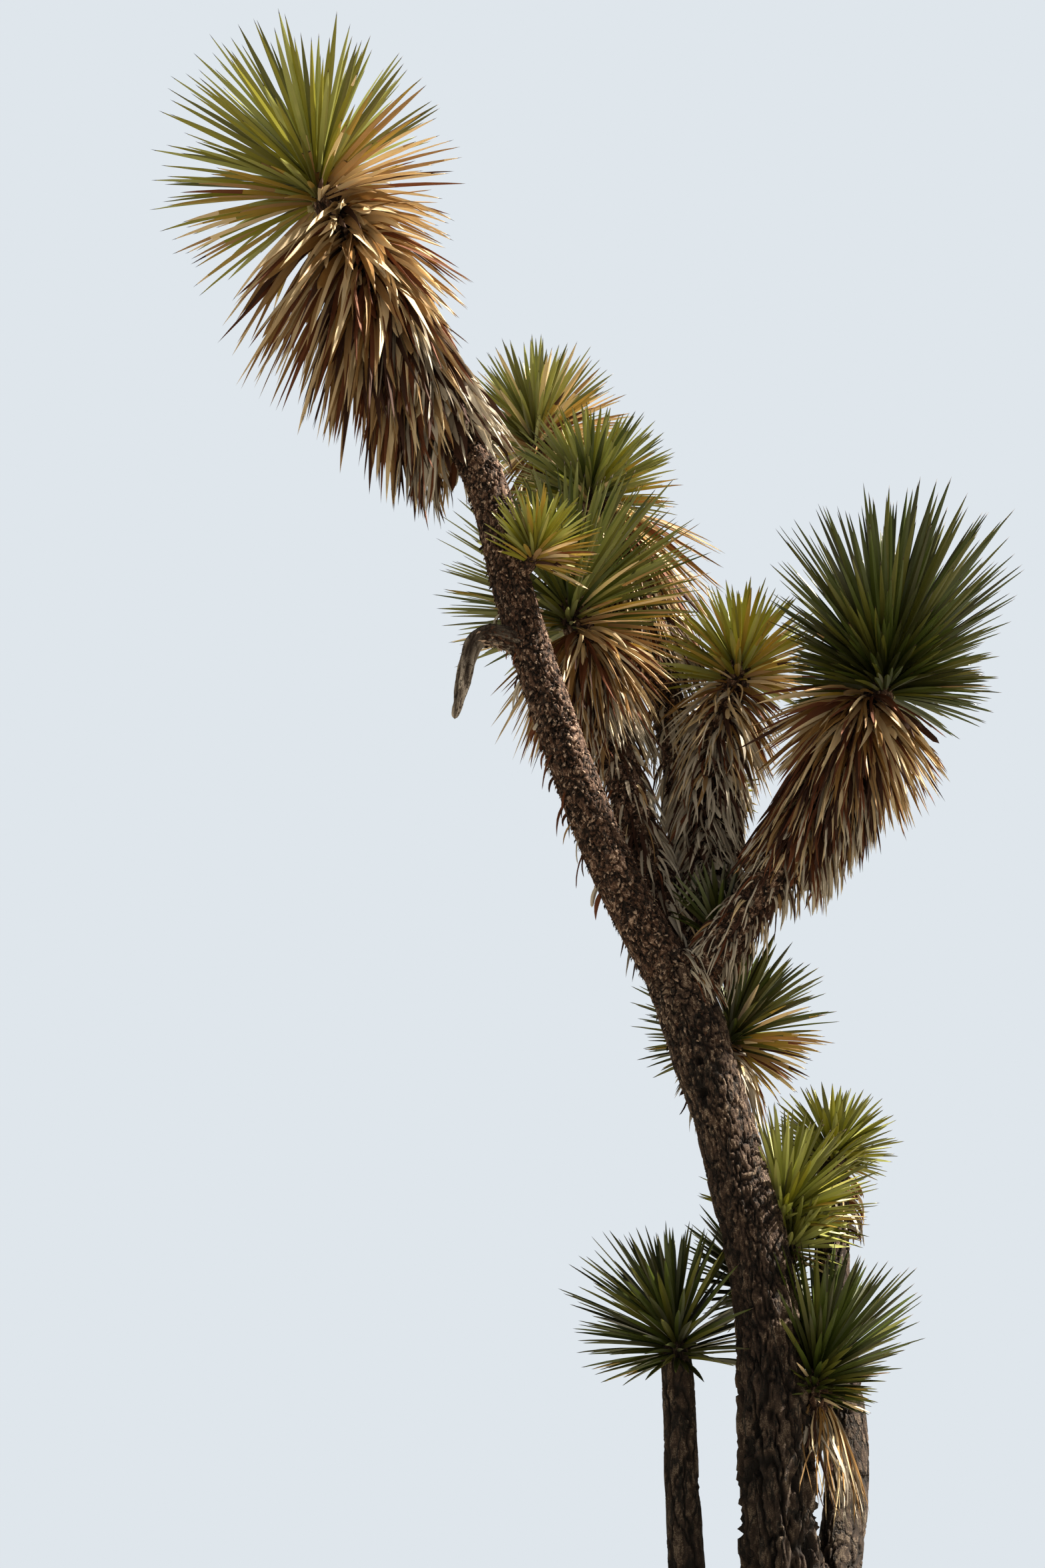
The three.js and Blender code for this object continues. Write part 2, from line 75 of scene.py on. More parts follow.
# What the whole plant shares. Lengths of the plant are written in millimetres.
mm = 0.001
tiny = 1e-6
goldenAngle = math.pi * (3 - math.sqrt(5))  # from one leaf to the next round the stem
usualCrown = 0.27  # the height of stem that bears a rosette, as a share of its leaves' length
usualOldest = 0.86  # the lowest leaves' length, as a share of the rosette's longest
usualFade = (0.3, 1)  # the ages between which leaves get shorter, from 0 in the heart to 1
usualShort = 0.62  # a skirt's lowest leaves' length, as a share of its longest
usualFoot = 0.3  # how much a skirt's lowest leaves point out as against down
usualGreyTo = 0.6  # how far up a skirt its leaves are weathered
allRound = (-1, 1)  # in half turns from the viewer's side
scarFloor = 0.55  # a scar's flat floor, as a share of its radius
towardsViewer = np.array([0.0, -1.0, 0.0])
hanging = np.array([0.0, 0.0, -1.0])

# The trunk, from the ground to the knuckle of the fork. Scars are round holes in the bark, each with its
# place, its radius and its depth. Strays are single dead leaves between two shares of a limb's length.
trunk = {
    "route": [
        (0, 0, 0), (-4, 0, 260), (-32, 0, 900), (-66, 0, 1600),
        (-80, -3, 2200), (-150, -18, 2560), (-256, -40, 2930), (-306, -46, 3075),
    ],
    "radii": [225, 152, 112, 84, 77, 73, 77, 76],
    "strays": {
        "count": 110, "from": 0.9, "to": 0.985, "turns": (0.15, 0.9), "longest": 130, "width": 13,
        "grey": 0.75,
    },
    "scars": [(-233, -104, 2776, 13, 20), (-228, -92, 2697, 18, 24), (-120, -84, 2420, 10, 12)],
}

# The lobes of the trunk's foot and the ridges of its old cork. Heights and the wave are in metres.
groundFlare = {"lobes": 5, "depth": 0.11, "height": 0.26}
ridges = {
    "count": 12, "depth": 10, "uneven": 0.3, "wave": 0.31, "wander": 0.08, "twist": 0.3, "fade": (1.2, 2.7),
}

# Arms that end in a rosette. Widest is the lowest leaf's lean in degrees, and fuller the side to which leaves
# are longer. A skirt covers a height of the arm, lift is how far above its foot its leaves start, and flare
# how far the highest stand out. Dry is how much of the rosette has turned, scorched the side that has turned
# most, and grey the skirt's weathered share.
arms = {
    "left": {
        "route": [
            (-270, -42, 2960), (-445, -75, 3301), (-580, -120, 3660), (-698, -160, 4032),
            (-788, -195, 4389), (-1022, -235, 4810), (-1272, -273, 5330),
        ],
        "radii": [63, 58, 54, 53, 54, 52, 48],
        "scars": [(-595, -185, 3668, 30, 12), (-564, -175, 3566, 34, 10), (-676, -215, 3950, 22, 10)],
        "strays": {
            "count": 45, "from": 0.13, "to": 0.5, "turns": (-1, -0.3), "longest": 120, "width": 16,
            "grey": 0.3,
        },
        "rosette": {
            "leaves": 275, "length": 465, "axis": (-0.12, -0.12, 1), "widest": 112, "fuller": (-0.07, 0, 0),
        },
        "skirt": {
            "height": 1060, "leaves": 1000, "length": 440, "flare": 3.0, "lift": 245, "short": 0.45,
            "fuller": (-0.16, 0, 0),
        },
        "greens": ["yellowGreen", "paleGreen", "yellowGreen", "paleGreen", "oliveGreen"],
        "dry": 0.72, "scorched": (0.65, 0.1, -0.5), "grey": 0.8, "greyTo": 0.33, "broken": 9,
    },
    "right": {
        "route": [
            (-240, -30, 2990), (-140, -55, 3120), (48, -100, 3367), (190, -112, 3620), (298, -115, 3850),
        ],
        "radii": [58, 55, 52, 50, 50],
        "strays": {"count": 330, "from": 0.14, "to": 0.62, "longest": 130, "width": 13, "grey": 0.75},
        "rosette": {
            "leaves": 520, "length": 565, "axis": (0.08, -0.1, 1), "widest": 97, "oldest": 0.49,
            "fade": (0.02, 0.62), "fuller": (0.05, 0, 0), "crown": 0.16,
        },
        "skirt": {
            "height": 655, "leaves": 1100, "length": 305, "flare": 3.0, "foot": 0.1, "lift": 130,
            "short": 0.42, "width": 24, "fuller": (-0.15, 0, 0),
        },
        "greens": ["deepGreen", "deepGreen", "oliveGreen", "darkOlive"],
        "dry": 0.3, "grey": 0.3, "broken": 8,
    },
    "front_middle": {
        "route": [
            (-262, 0, 2990), (-325, 95, 3290), (-384, 130, 3562), (-470, 152, 3900), (-542, 166, 4200),
        ],
        "radii": [56, 54, 50, 46, 44],
        "strays": {"count": 280, "from": 0.12, "to": 0.64, "longest": 190, "width": 16, "grey": 0.8},
        "rosette": {"leaves": 300, "length": 445, "axis": (0.02, -0.2, 1), "widest": 104, "oldest": 0.74},
        "skirt": {
            "height": 350, "leaves": 850, "length": 350, "flare": 2.2, "lift": 60, "short": 0.55, "width": 18,
        },
        "greens": ["silverGreen", "oliveGreen", "silverGreen", "deepGreen"],
        "dry": 0.42, "scorched": (0.2, -0.1, -0.25), "grey": 0.3, "dead": "redTones", "broken": 2,
    },
    "back_middle": {
        "route": [
            (-235, 0, 2990), (-222, 190, 3320), (-225, 300, 3698), (-275, 360, 4020),
            (-365, 412, 4340), (-470, 452, 4705),
        ],
        "radii": [56, 54, 50, 48, 46, 44],
        "strays": {"count": 280, "from": 0.1, "to": 0.56, "longest": 190, "width": 16, "grey": 0.8},
        "rosette": {"leaves": 280, "length": 290, "axis": (0.12, -0.12, 1), "widest": 100},
        "skirt": {
            "height": 640, "leaves": 950, "length": 415, "flare": 2.3, "lift": 110, "short": 0.6,
            "fuller": (0.14, 0, 0), "width": 19,
        },
        "greens": ["paleGreen", "silverGreen", "deepGreen", "silverGreen", "yellowGreen"],
        "dry": 0.3, "scorched": (0.2, 0, -0.4), "grey": 0.1, "dead": "redTones", "broken": 2,
    },
    "right_middle": {
        "route": [
            (-222, 0, 2990), (-170, 95, 3290), (-168, 160, 3560), (-120, 200, 3805), (-58, 211, 4010),
        ],
        "radii": [50, 48, 46, 44, 42],
        "strays": {"count": 120, "from": 0.08, "to": 0.36, "longest": 170, "width": 15, "grey": 0.9},
        "rosette": {"leaves": 210, "length": 268, "axis": (0.15, -0.12, 1), "widest": 98},
        "skirt": {
            "height": 745, "leaves": 900, "length": 215, "flare": 2.3, "short": 0.5, "width": 17,
            "curl": 0.09,
        },
        "greens": ["yellowGreen", "gold", "paleGreen", "yellowGreen", "paleGreen"],
        "dry": 0.42, "scorched": (0.4, -0.1, -0.1), "grey": 1, "greyTo": 1.5, "dead": "redTones",
    },
    "upper_middle": {
        "route": [
            (-232, 318, 3790), (-285, 425, 4050), (-400, 530, 4370), (-540, 640, 4720), (-635, 737, 5070),
        ],
        "radii": [42, 42, 41, 40, 38],
        "rosette": {"leaves": 240, "length": 325, "axis": (0.05, -0.05, 1), "widest": 96},
        "skirt": {"height": 340, "leaves": 300, "length": 300, "flare": 1.8, "width": 20},
        "greens": ["paleGreen", "silverGreen", "straw", "paleGreen", "oliveGreen"],
        "dry": 0.6, "scorched": (0.8, 0, 0.1), "grey": 0.1, "dead": "strawTones", "broken": 3,
    },
    "second": {
        "route": [
            (-34, 6, 960), (48, 66, 1420), (134, 200, 1812), (130, 280, 2231), (155, 330, 2640),
        ],
        "radii": [62, 56, 52, 47, 40],
        "rosette": {"leaves": 170, "length": 200, "axis": (0.1, -0.05, 1), "widest": 102, "oldest": 0.65},
        "skirt": {"height": 190, "leaves": 90, "length": 90, "flare": 0.4, "width": 18},
        "greens": ["oliveGreen", "yellowGreen", "paleGreen"],
        "dry": 0.25, "scorched": (0, 0, -0.4), "grey": 0.7,
    },
    "low": {
        "route": [(-14, 8, 430), (-160, 66, 760), (-262, 108, 1300), (-296, 120, 2140)],
        "radii": [60, 50, 44, 38],
        "rosette": {"leaves": 200, "length": 320, "axis": (-0.12, -0.15, 1), "widest": 100, "oldest": 0.65},
        "greens": ["deepGreen", "darkOlive", "deepGreen", "oliveGreen"],
        "dry": 0.3, "scorched": (0, 0, -0.4),
    },
}

# Side shoots close to the limb that bears them
shoots = {
    "fork": {
        "route": [(-190, -25, 3055), (-172, -12, 3110), (-165, -5, 3165)],
        "radii": [18, 17, 16],
        "rosette": {"leaves": 60, "length": 200, "axis": (-0.05, 0, 1), "widest": 58},
        "greens": ["deepGreen", "darkOlive"], "dry": 0.1,
    },
    "small_front": {
        "route": [(-715, -176, 4085), (-670, -198, 4120), (-640, -206, 4165)],
        "radii": [26, 24, 24],
        "rosette": {"leaves": 130, "length": 195, "axis": (0.4, -0.4, 1), "widest": 88},
        "greens": ["yellowGreen", "gold", "paleGreen"],
        "dry": 0.4, "scorched": (0.35, -0.2, -0.2),
    },
    "behind_middle": {
        "route": [(-222, 300, 3640), (-195, 385, 3680), (-160, 445, 3710)],
        "radii": [30, 28, 26],
        "rosette": {"leaves": 90, "length": 190, "axis": (1, 0.2, 0.1), "widest": 75},
        "greens": ["oliveGreen", "gold", "yellowGreen"],
        "dry": 0.6, "scorched": (0.2, 0, -0.6),
    },
    "upper_trunk": {
        "route": [(-222, -32, 2765), (-152, 100, 2805), (-122, 145, 2930)],
        "radii": [40, 38, 36],
        "rosette": {
            "leaves": 250, "length": 300, "axis": (0.25, 0.1, 1), "widest": 109, "oldest": 0.72,
            "fuller": (-0.05, 0, 0),
        },
        "skirt": {
            "leaves": 190, "length": 190, "flare": 0.8, "lift": 70, "width": 17, "fuller": (0.3, 0, 0),
            "curl": 0.08,
        },
        "greens": ["deepGreen", "oliveGreen", "darkOlive"],
        "dry": 0.45, "scorched": (0.3, 0, -0.8), "grey": 0.3, "dead": "paleTones",
    },
    "middle_trunk": {
        "route": [(-100, -8, 2330), (-35, 80, 2395), (-6, 110, 2455)],
        "radii": [38, 36, 34],
        "rosette": {"leaves": 190, "length": 280, "axis": (0.3, -0.1, 1), "widest": 82, "oldest": 0.8},
        "greens": ["paleGreen", "yellowGreen", "oliveGreen"],
        "dry": 0.25, "scorched": (0, 0, -0.4),
    },
    "small_trunk": {
        "route": [(-85, -4, 2265), (-20, 30, 2300), (5, 45, 2345)],
        "radii": [26, 24, 22],
        "rosette": {"leaves": 60, "length": 160, "axis": (0.7, -0.3, 0.8), "widest": 75},
        "greens": ["paleGreen", "oliveGreen"], "dry": 0.4,
    },
    "lower_trunk": {
        "route": [(-72, 0, 1835), (20, 12, 1890), (48, 18, 2045)],
        "radii": [42, 40, 38],
        "rosette": {
            "leaves": 280, "length": 350, "axis": (0.25, -0.1, 1), "widest": 92, "oldest": 0.42,
            "fade": (0.15, 0.75), "fuller": (0, 0.05, 0),
        },
        "skirt": {"leaves": 170, "length": 300, "flare": 0.35, "lift": 130, "width": 13, "curl": 0.12},
        "greens": ["deepGreen", "darkOlive", "deepGreen", "oliveGreen"],
        "dry": 0.3, "scorched": (0, 0, -0.5), "grey": 0.3, "dead": "paleTones",
    },
    "behind_trunk": {
        "route": [(-80, -3, 2120), (-70, 180, 2190), (-60, 290, 2280)],
        "radii": [36, 34, 32],
        "rosette": {
            "leaves": 170, "length": 255, "axis": (-0.1, 0.2, 1), "widest": 104, "oldest": 0.6,
            "fade": (0.15, 0.8),
        },
        "greens": ["deepGreen", "darkOlive"], "dry": 0.3, "scorched": (0, 0, -0.4),
    },
}

# The broken dead shoot that hangs from the left bough
deadStub = {
    "route": [
        (-690, -162, 3905), (-764, -182, 3918), (-808, -192, 3890), (-834, -195, 3790), (-858, -195, 3670),
    ],
    "radii": [31, 28, 23, 19, 7],
}


# Small sums used all over
def unit(vectors):
    return vectors / np.linalg.norm(vectors, axis=-1, keepdims=True)


def dot(a, b):
    return (a * b).sum(axis=-1, keepdims=True)


def mix(a, b, share):
    return a + (b - a) * share


def smooth(low, high, value):
    share = np.clip((value - low) / (high - low), 0, 1)
    return share * share * (3 - 2 * share)


def column(values):
    return np.asarray(values)[:, None]


# Limbs as smooth centripetal curves through their routes. Shares of a limb run from 0, its root, to 1.
def growLimb(limb):
    points = np.array(limb["route"], float) * mm
    row = np.vstack([2 * points[0] - points[1], points, 2 * points[-1] - points[-2]])
    gap = np.sqrt(np.linalg.norm(np.diff(row, axis=0), axis=1))[:, None]
    step = np.diff(row, axis=0) / gap
    slope = step[:-1] - (row[2:] - row[:-2]) / (gap[1:] + gap[:-1]) + step[1:]
    first, last = points[:-1], points[1:]
    leaving, arriving = slope[:-1] * gap[1:-1], slope[1:] * gap[1:-1]
    square = 3 * (last - first) - 2 * leaving - arriving
    cube = 2 * (first - last) + leaving + arriving
    limb["cubic"] = np.stack([first, leaving, square, cube], axis=1)
    limb["shares"] = np.linspace(0, 1, 201)
    middle = framesAlong(limb, limb["shares"])[0]
    limb["travel"] = np.append(0, np.cumsum(np.linalg.norm(np.diff(middle, axis=0), axis=1)))


def framesAlong(limb, shares):
    shares = np.clip(np.atleast_1d(shares), 0, 1)
    place = shares * len(limb["cubic"])
    segment = np.minimum(place.astype(int), len(limb["cubic"]) - 1)
    t = column(place - segment)
    c = limb["cubic"][segment]
    middle = c[:, 0] + t * (c[:, 1] + t * (c[:, 2] + t * c[:, 3]))
    ahead = unit(c[:, 1] + t * (2 * c[:, 2] + 3 * t * c[:, 3]))
    front = unit(towardsViewer - ahead * dot(ahead, towardsViewer))
    return middle, ahead, front, np.cross(ahead, front)


def shareShortOfTip(limb, distance):
    return float(np.interp(limb["travel"][-1] - distance, limb["travel"], limb["shares"]))


def radiusAt(limb, shares):
    return np.interp(shares, np.linspace(0, 1, len(limb["radii"])), limb["radii"]) * mm


def outward(front, side, turn):
    return front * np.cos(turn)[..., None] + side * np.sin(turn)[..., None]


def leafFrames(limb, shares, turn):
    middle, ahead, front, side = framesAlong(limb, shares)
    return middle, ahead, outward(front, side, turn), outward(front, side, turn + math.pi / 2)


# Materials
def linear(hexColour):
    parts = [int(hexColour[i : i + 2], 16) / 255 for i in (1, 3, 5)]
    return [c / 12.92 if c <= 0.04045 else ((c + 0.055) / 1.055) ** 2.4 for c in parts] + [1]


def addNode(tree, kind, inputs, **settings):
    node = tree.nodes.new("ShaderNode" + kind)
    for name, value in settings.items():
        setattr(node, name, value)
    for socket, value in inputs.items():
        if isinstance(value, bpy.types.NodeSocket):
            tree.links.new(value, node.inputs[socket])
        else:
            node.inputs[socket].default_value = value
    return node


def newMaterial(name):
    material = bpy.data.materials.new(name)
    material.use_nodes = True
    material.node_tree.nodes.clear()
    return material


# Leaf tones. A living leaf has a smooth waxy skin with a soft gloss; a dead one is dry, matt fibre.
leafTones = {
    "leafBase": ("#C9C48F", 0.5),
    "paleGreen": ("#9CA05A", 0.34),
    "yellowGreen": ("#88862E", 0.34),
    "oliveGreen": ("#5E6026", 0.34),
    "silverGreen": ("#80854F", 0.32),
    "deepGreen": ("#45501F", 0.32),
    "darkOlive": ("#363A18", 0.34),
    "gold": ("#A58C3E", 0.45),
    "amber": ("#967240", 0.55),
    "straw": ("#E2CCA4", 0.7),
    "tan": ("#A4845A", 0.75),
    "redBrown": ("#6F4026", 0.8),
    "umber": ("#402518", 0.85),
    "weathered": ("#8E8476", 0.9),
    "bleached": ("#D3CABA", 0.9),
    "spine": ("#38271B", 0.6),
}


def plainMaterial(name, tone, roughness):
    material = newMaterial(name)
    tree = material.node_tree
    skin = {"Base Color": linear(tone), "Roughness": roughness, "IOR": 1.45}
    shader = addNode(tree, "BsdfPrincipled", skin)
    addNode(tree, "OutputMaterial", {"Surface": shader.outputs[0]})
    return material


leafMaterials = [plainMaterial(f"leaf_{name}", *tone) for name, tone in leafTones.items()]
toneIndex = {name: i for i, name in enumerate(leafTones)}

# Yucca bark: cork that cracks into plates, with painted shade near black in its cracks, brown to grey on the
# plates. Its dark tone is soot and painted shade, and darkens it from the first of two heights to the second.
barkLook = {
    "crack": "#0C0705", "flank": "#251812", "plate": "#544236", "wornAndHighlit": "#A3917E", "darkTone": "#0D0A08",
    "darkShare": 0.6, "darkHeights": (2.6, 1.7), "grain": 3, "blotch": 55, "grainDepth": 0.8,
    "plateSize": 45, "plateDepth": 3,
}

# What makes up its shade, and where along it each tone stands. Relief is 0 in a crack and 1 on a plate, so
# the ramp paints shade into the cracks and wear with a painted highlight onto the highest plates.
barkShade = {"relief": 0.45, "blotch": 0.35, "grain": 0.5, "less": 0.12}
barkStops = {"crack": 0.28, "flank": 0.52, "plate": 0.72, "wornAndHighlit": 0.86}
plateStretch = 0.35
crackEdge = (0.002, 0.04)  # the plates' noise in a crack and beside it


def barkMaterial(name, look):
    material = newMaterial(name)
    tree = material.node_tree
    place = addNode(tree, "TexCoord", {}).outputs["Object"]
    relief = addNode(tree, "Attribute", {}, attribute_name="relief").outputs["Fac"]

    def spots(size, detail):
        inputs = {"Vector": place, "Scale": 1 / (size * mm), "Detail": detail}
        return addNode(tree, "TexNoise", inputs).outputs["Fac"]

    def plus(value, times, more):
        inputs = {0: value, 1: times, 2: more}
        return addNode(tree, "Math", inputs, operation="MULTIPLY_ADD").outputs[0]

    def ranged(value, low, high, top):
        inputs = {"Value": value, "From Min": low, "From Max": high, "To Max": top}
        return addNode(tree, "MapRange", inputs).outputs[0]

    def mixed(share, tone, other):
        inputs = {"Factor": share, 6: tone, 7: other}
        return addNode(tree, "Mix", inputs, data_type="RGBA").outputs[2]

    grain = spots(look["grain"], 3)
    shade = plus(grain, barkShade["grain"], -barkShade["less"])
    shade = plus(spots(look["blotch"], 5), barkShade["blotch"], shade)
    shade = plus(relief, barkShade["relief"], shade)
    ramp = addNode(tree, "ValToRGB", {"Fac": shade})
    stops = ramp.color_ramp.elements
    for part, share in barkStops.items():
        stops.new(share).color = linear(look[part])
    stops.remove(stops[0])
    stops.remove(stops[-1])
    upright = addNode(tree, "Mapping", {"Vector": place, "Scale": (1, 1, plateStretch)}).outputs[0]
    plates = {"Vector": upright, "Scale": 1 / (look["plateSize"] * mm), "Detail": 4, "Roughness": 0.55}
    plates = plus(addNode(tree, "TexNoise", plates).outputs["Fac"], 1, -0.5)
    plates = addNode(tree, "Math", {0: plates}, operation="ABSOLUTE").outputs[0]
    plates = ranged(plates, *crackEdge, 1)
    # Painted shade: the crack tone fills the thin cracks between the plates
    cracked = mixed(plates, linear(look["crack"]), ramp.outputs["Color"])
    height = addNode(tree, "SeparateXYZ", {"Vector": place}).outputs["Z"]
    # Darker towards the trunk's foot as soot and painted shade; on the dead stub, dark bark on its upper end
    colour = mixed(ranged(height, *look["darkHeights"], look["darkShare"]), cracked, linear(look["darkTone"]))
    shape = {"Height": plates, "Distance": look["plateDepth"] * mm, "Strength": 1}
    shape = addNode(tree, "Bump", shape).outputs[0]
    rough = {"Height": grain, "Distance": look["grainDepth"] * mm, "Strength": 1, "Normal": shape}
    normal = addNode(tree, "Bump", rough).outputs[0]
    skin = {"Base Color": colour, "Roughness": 0.92, "Normal": normal}
    shader = addNode(tree, "BsdfPrincipled", skin)
    addNode(tree, "OutputMaterial", {"Surface": shader.outputs[0]})
    return material


youngLook = {
    **barkLook, "flank": "#2A1A12", "plate": "#5E4435", "wornAndHighlit": "#BCA390",
    "blotch": 40, "grain": 2.5, "plateSize": 24, "plateDepth": 2, "darkShare": 0,
}

# The dead stub is bare grey wood, with dark bark left on its upper end
greyLook = {
    **youngLook, "crack": "#2E241E", "flank": "#74695F", "plate": "#A89D91", "wornAndHighlit": "#DDD4C6",
    "blotch": 30, "plateDepth": 0.5, "darkTone": "#2B1F17", "darkShare": 0.85, "darkHeights": (3.83, 3.92),
}
barkMaterials = {
    "old_bark": barkMaterial("yucca_bark", barkLook),
    "young_bark": barkMaterial("young_yucca_bark", youngLook),
    "grey_wood": barkMaterial("weathered_grey_wood", greyLook),
}
flakeTones = {"darkFlake": "#2A1A12", "brownFlake": "#52392B", "lightFlake": "#B09886"}
flakeMaterials = [plainMaterial(f"leaf_base_{name}", tone, 0.9) for name, tone in flakeTones.items()]
print("materials made")


# Pieces
def placePiece(name, mesh, slot, *nodes):
    piece = bpy.data.objects.new(name, mesh)
    bpy.context.scene.collection.objects.link(piece)
    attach(piece, "root")
    if nodes:
        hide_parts(*nodes)


# Bark as a fine grid wrapped round a limb and pushed out and in by its relief
def barkTube(name, limb, shape, material, slot, *nodes):
    lines = bmesh.new()
    bmesh.ops.create_grid(lines, x_segments=shape["around"], y_segments=shape["along"], size=0.5)
    mesh = bpy.data.meshes.new(name)
    lines.to_mesh(mesh)
    flat = np.empty(len(mesh.vertices) * 3)
    mesh.vertices.foreach_get("co", flat)
    flat = flat.reshape(-1, 3) + 0.5
    turn, level = flat[:, 0] * 2 * math.pi, flat[:, 1]
    turn[flat[:, 0] > 1 - tiny] = 0
    middle, ahead, front, side = framesAlong(limb, level)
    radius = radiusAt(limb, level)
    if shape.get("onGround"):
        fade = np.exp(-middle[:, 2] / groundFlare["height"])
        radius = radius * (1 + groundFlare["depth"] * fade * np.cos(groundFlare["lobes"] * turn))
    travel = np.interp(level, limb["shares"], limb["travel"])
    straight = np.stack([radius * np.cos(turn), radius * np.sin(turn), travel], axis=1)
    out = outward(front, side, turn)
    height, relief = shape["relief"](straight, middle)
    for *centre, size, depth in limb.get("scars", []):
        away = np.linalg.norm(middle + out * column(radius) - np.array(centre) * mm, axis=1)
        hollow = 1 - smooth(scarFloor * size * mm, size * mm, away)
        height, relief = height - hollow * depth * mm, relief * (1 - hollow)
    if shape.get("onGround"):  # the relief is flatter right at the ground
        height = height * smooth(0, 0.02, level + 0.012)
    last = np.maximum(0, level - shape["roundFrom"]) / (1 - shape["roundFrom"])
    places = middle + out * column((radius + height) * np.sqrt(1 - last**2))
    if shape.get("onGround"):
        places[level < tiny, 2] = 0
    mesh.vertices.foreach_set("co", places.ravel())
    # The material paints shade into the cracks from this relief
    mesh.attributes.new("relief", "FLOAT", "POINT").data.foreach_set("value", relief)
    lines.free()
    shell = bmesh.new()
    shell.from_mesh(mesh)
    bmesh.ops.remove_doubles(shell, verts=shell.verts, dist=1e-5)
    bmesh.ops.holes_fill(shell, edges=[e for e in shell.edges if e.is_boundary], sides=0)
    bmesh.ops.recalc_face_normals(shell, faces=shell.faces)
    shell.to_mesh(mesh)
    shell.free()
    mesh.shade_smooth()
    mesh.materials.append(material)
    placePiece(name, mesh, slot, *nodes)


# Cork: ridges that run up the limb, split by deep fissures and broken across, with smaller cracks on them.
# Each number is a size of one of these in millimetres; split and cracked say how wide the gaps are.
oldCork = {
    "wide": 34, "tall": 170, "broken": 75, "small": 15, "wander": 9, "depth": 22,
    "split": 0.13, "cracked": 0.05,
}
youngCork = {
    "wide": 24, "tall": 44, "broken": 22, "small": 9, "wander": 7, "depth": 9,
    "split": 0.1, "cracked": 0.08,
}
youngFrom = (1.7, 2.8)  # the heights between which old cork gives way to young
smallCracks = {"gap": 0.25, "take": 0.4}
corkLevel = 0.7  # a ridge's share inside the limb's radius
lumps = {"perMetre": 7, "height": 7}
stemDepth = 0.4  # the lower stems' relief, as a share of the trunk's
woodGrooves = {"across": 90, "along": 9, "level": 0.6, "depth": 9}
noise.seed_set(1)


def corkRelief(straight, cork):
    relief = np.empty(len(straight))
    wide, tall, broken, small = (cork[part] * mm for part in ("wide", "tall", "broken", "small"))
    wander, split, cracked = cork["wander"] * mm, cork["split"], cork["cracked"]
    for i, place in enumerate(map(Vector, straight)):
        x, y, z = place + noise.noise_vector(place / (3 * wander)) * wander
        upright = abs(noise.noise((x / wide, y / wide, z / tall))) / split
        across = abs(noise.noise((x / wide / 2 + 9, y / wide / 2, z / broken))) / cracked
        fine = abs(noise.noise((x / small, y / small, z / small / 2))) / smallCracks["gap"]
        relief[i] = min(upright, across, 1) * (1 - smallCracks["take"] * (1 - min(fine, 1)))
    return relief


def standing(relief, depth):
    return (smooth(0, 1, relief) - corkLevel) * depth * mm


def trunkRelief(straight, middle):
    young = smooth(*youngFrom, middle[:, 2])
    relief = mix(corkRelief(straight, oldCork), corkRelief(straight, youngCork), young)
    depth = mix(oldCork["depth"], youngCork["depth"], young)
    lump = np.array([noise.fractal(p * lumps["perMetre"], 1, 2, 3) for p in map(Vector, straight)])
    return standing(relief, depth) + lump * lumps["height"] * mm, relief


def ridgedRelief(straight, middle):
    height, relief = trunkRelief(straight, middle)
    wander = np.array([noise.noise(p * 5) for p in map(Vector, straight)]) * ridges["wander"]
    turn = np.arctan2(straight[:, 1], straight[:, 0]) - ridges["twist"] * middle[:, 2]
    uneven = 1 + ridges["uneven"] * np.sin(2 * turn + middle[:, 2] / ridges["wave"])
    fade = 1 - smooth(*ridges["fade"], middle[:, 2])
    wave = np.cos(ridges["count"] * (turn + wander))
    return height + ridges["depth"] * mm * fade * uneven * wave, relief


def stemRelief(straight, middle):
    height, relief = trunkRelief(straight, middle)
    return height * stemDepth, relief


def boughRelief(straight, middle):
    relief = corkRelief(straight, youngCork)
    return standing(relief, youngCork["depth"]), relief


def stubRelief(straight, middle):
    across, along, level = (woodGrooves[part] for part in ("across", "along", "level"))
    grooves = [noise.fractal((x * across, y * across, z * along), 1, 2, 3) for x, y, z in straight]
    relief = np.clip(level + np.array(grooves), 0, 1)
    return (relief - level) * woodGrooves["depth"] * mm, relief


# Blades: many leaves as one mesh. A blade is a row of stations; each has two margins, the channel between
# them and the keel below, and the last is the point. Every blade has an own tone near its foot and another
# from one of its stations on. Its base and its point have these too, or a tone that all share.
ownTone = -1


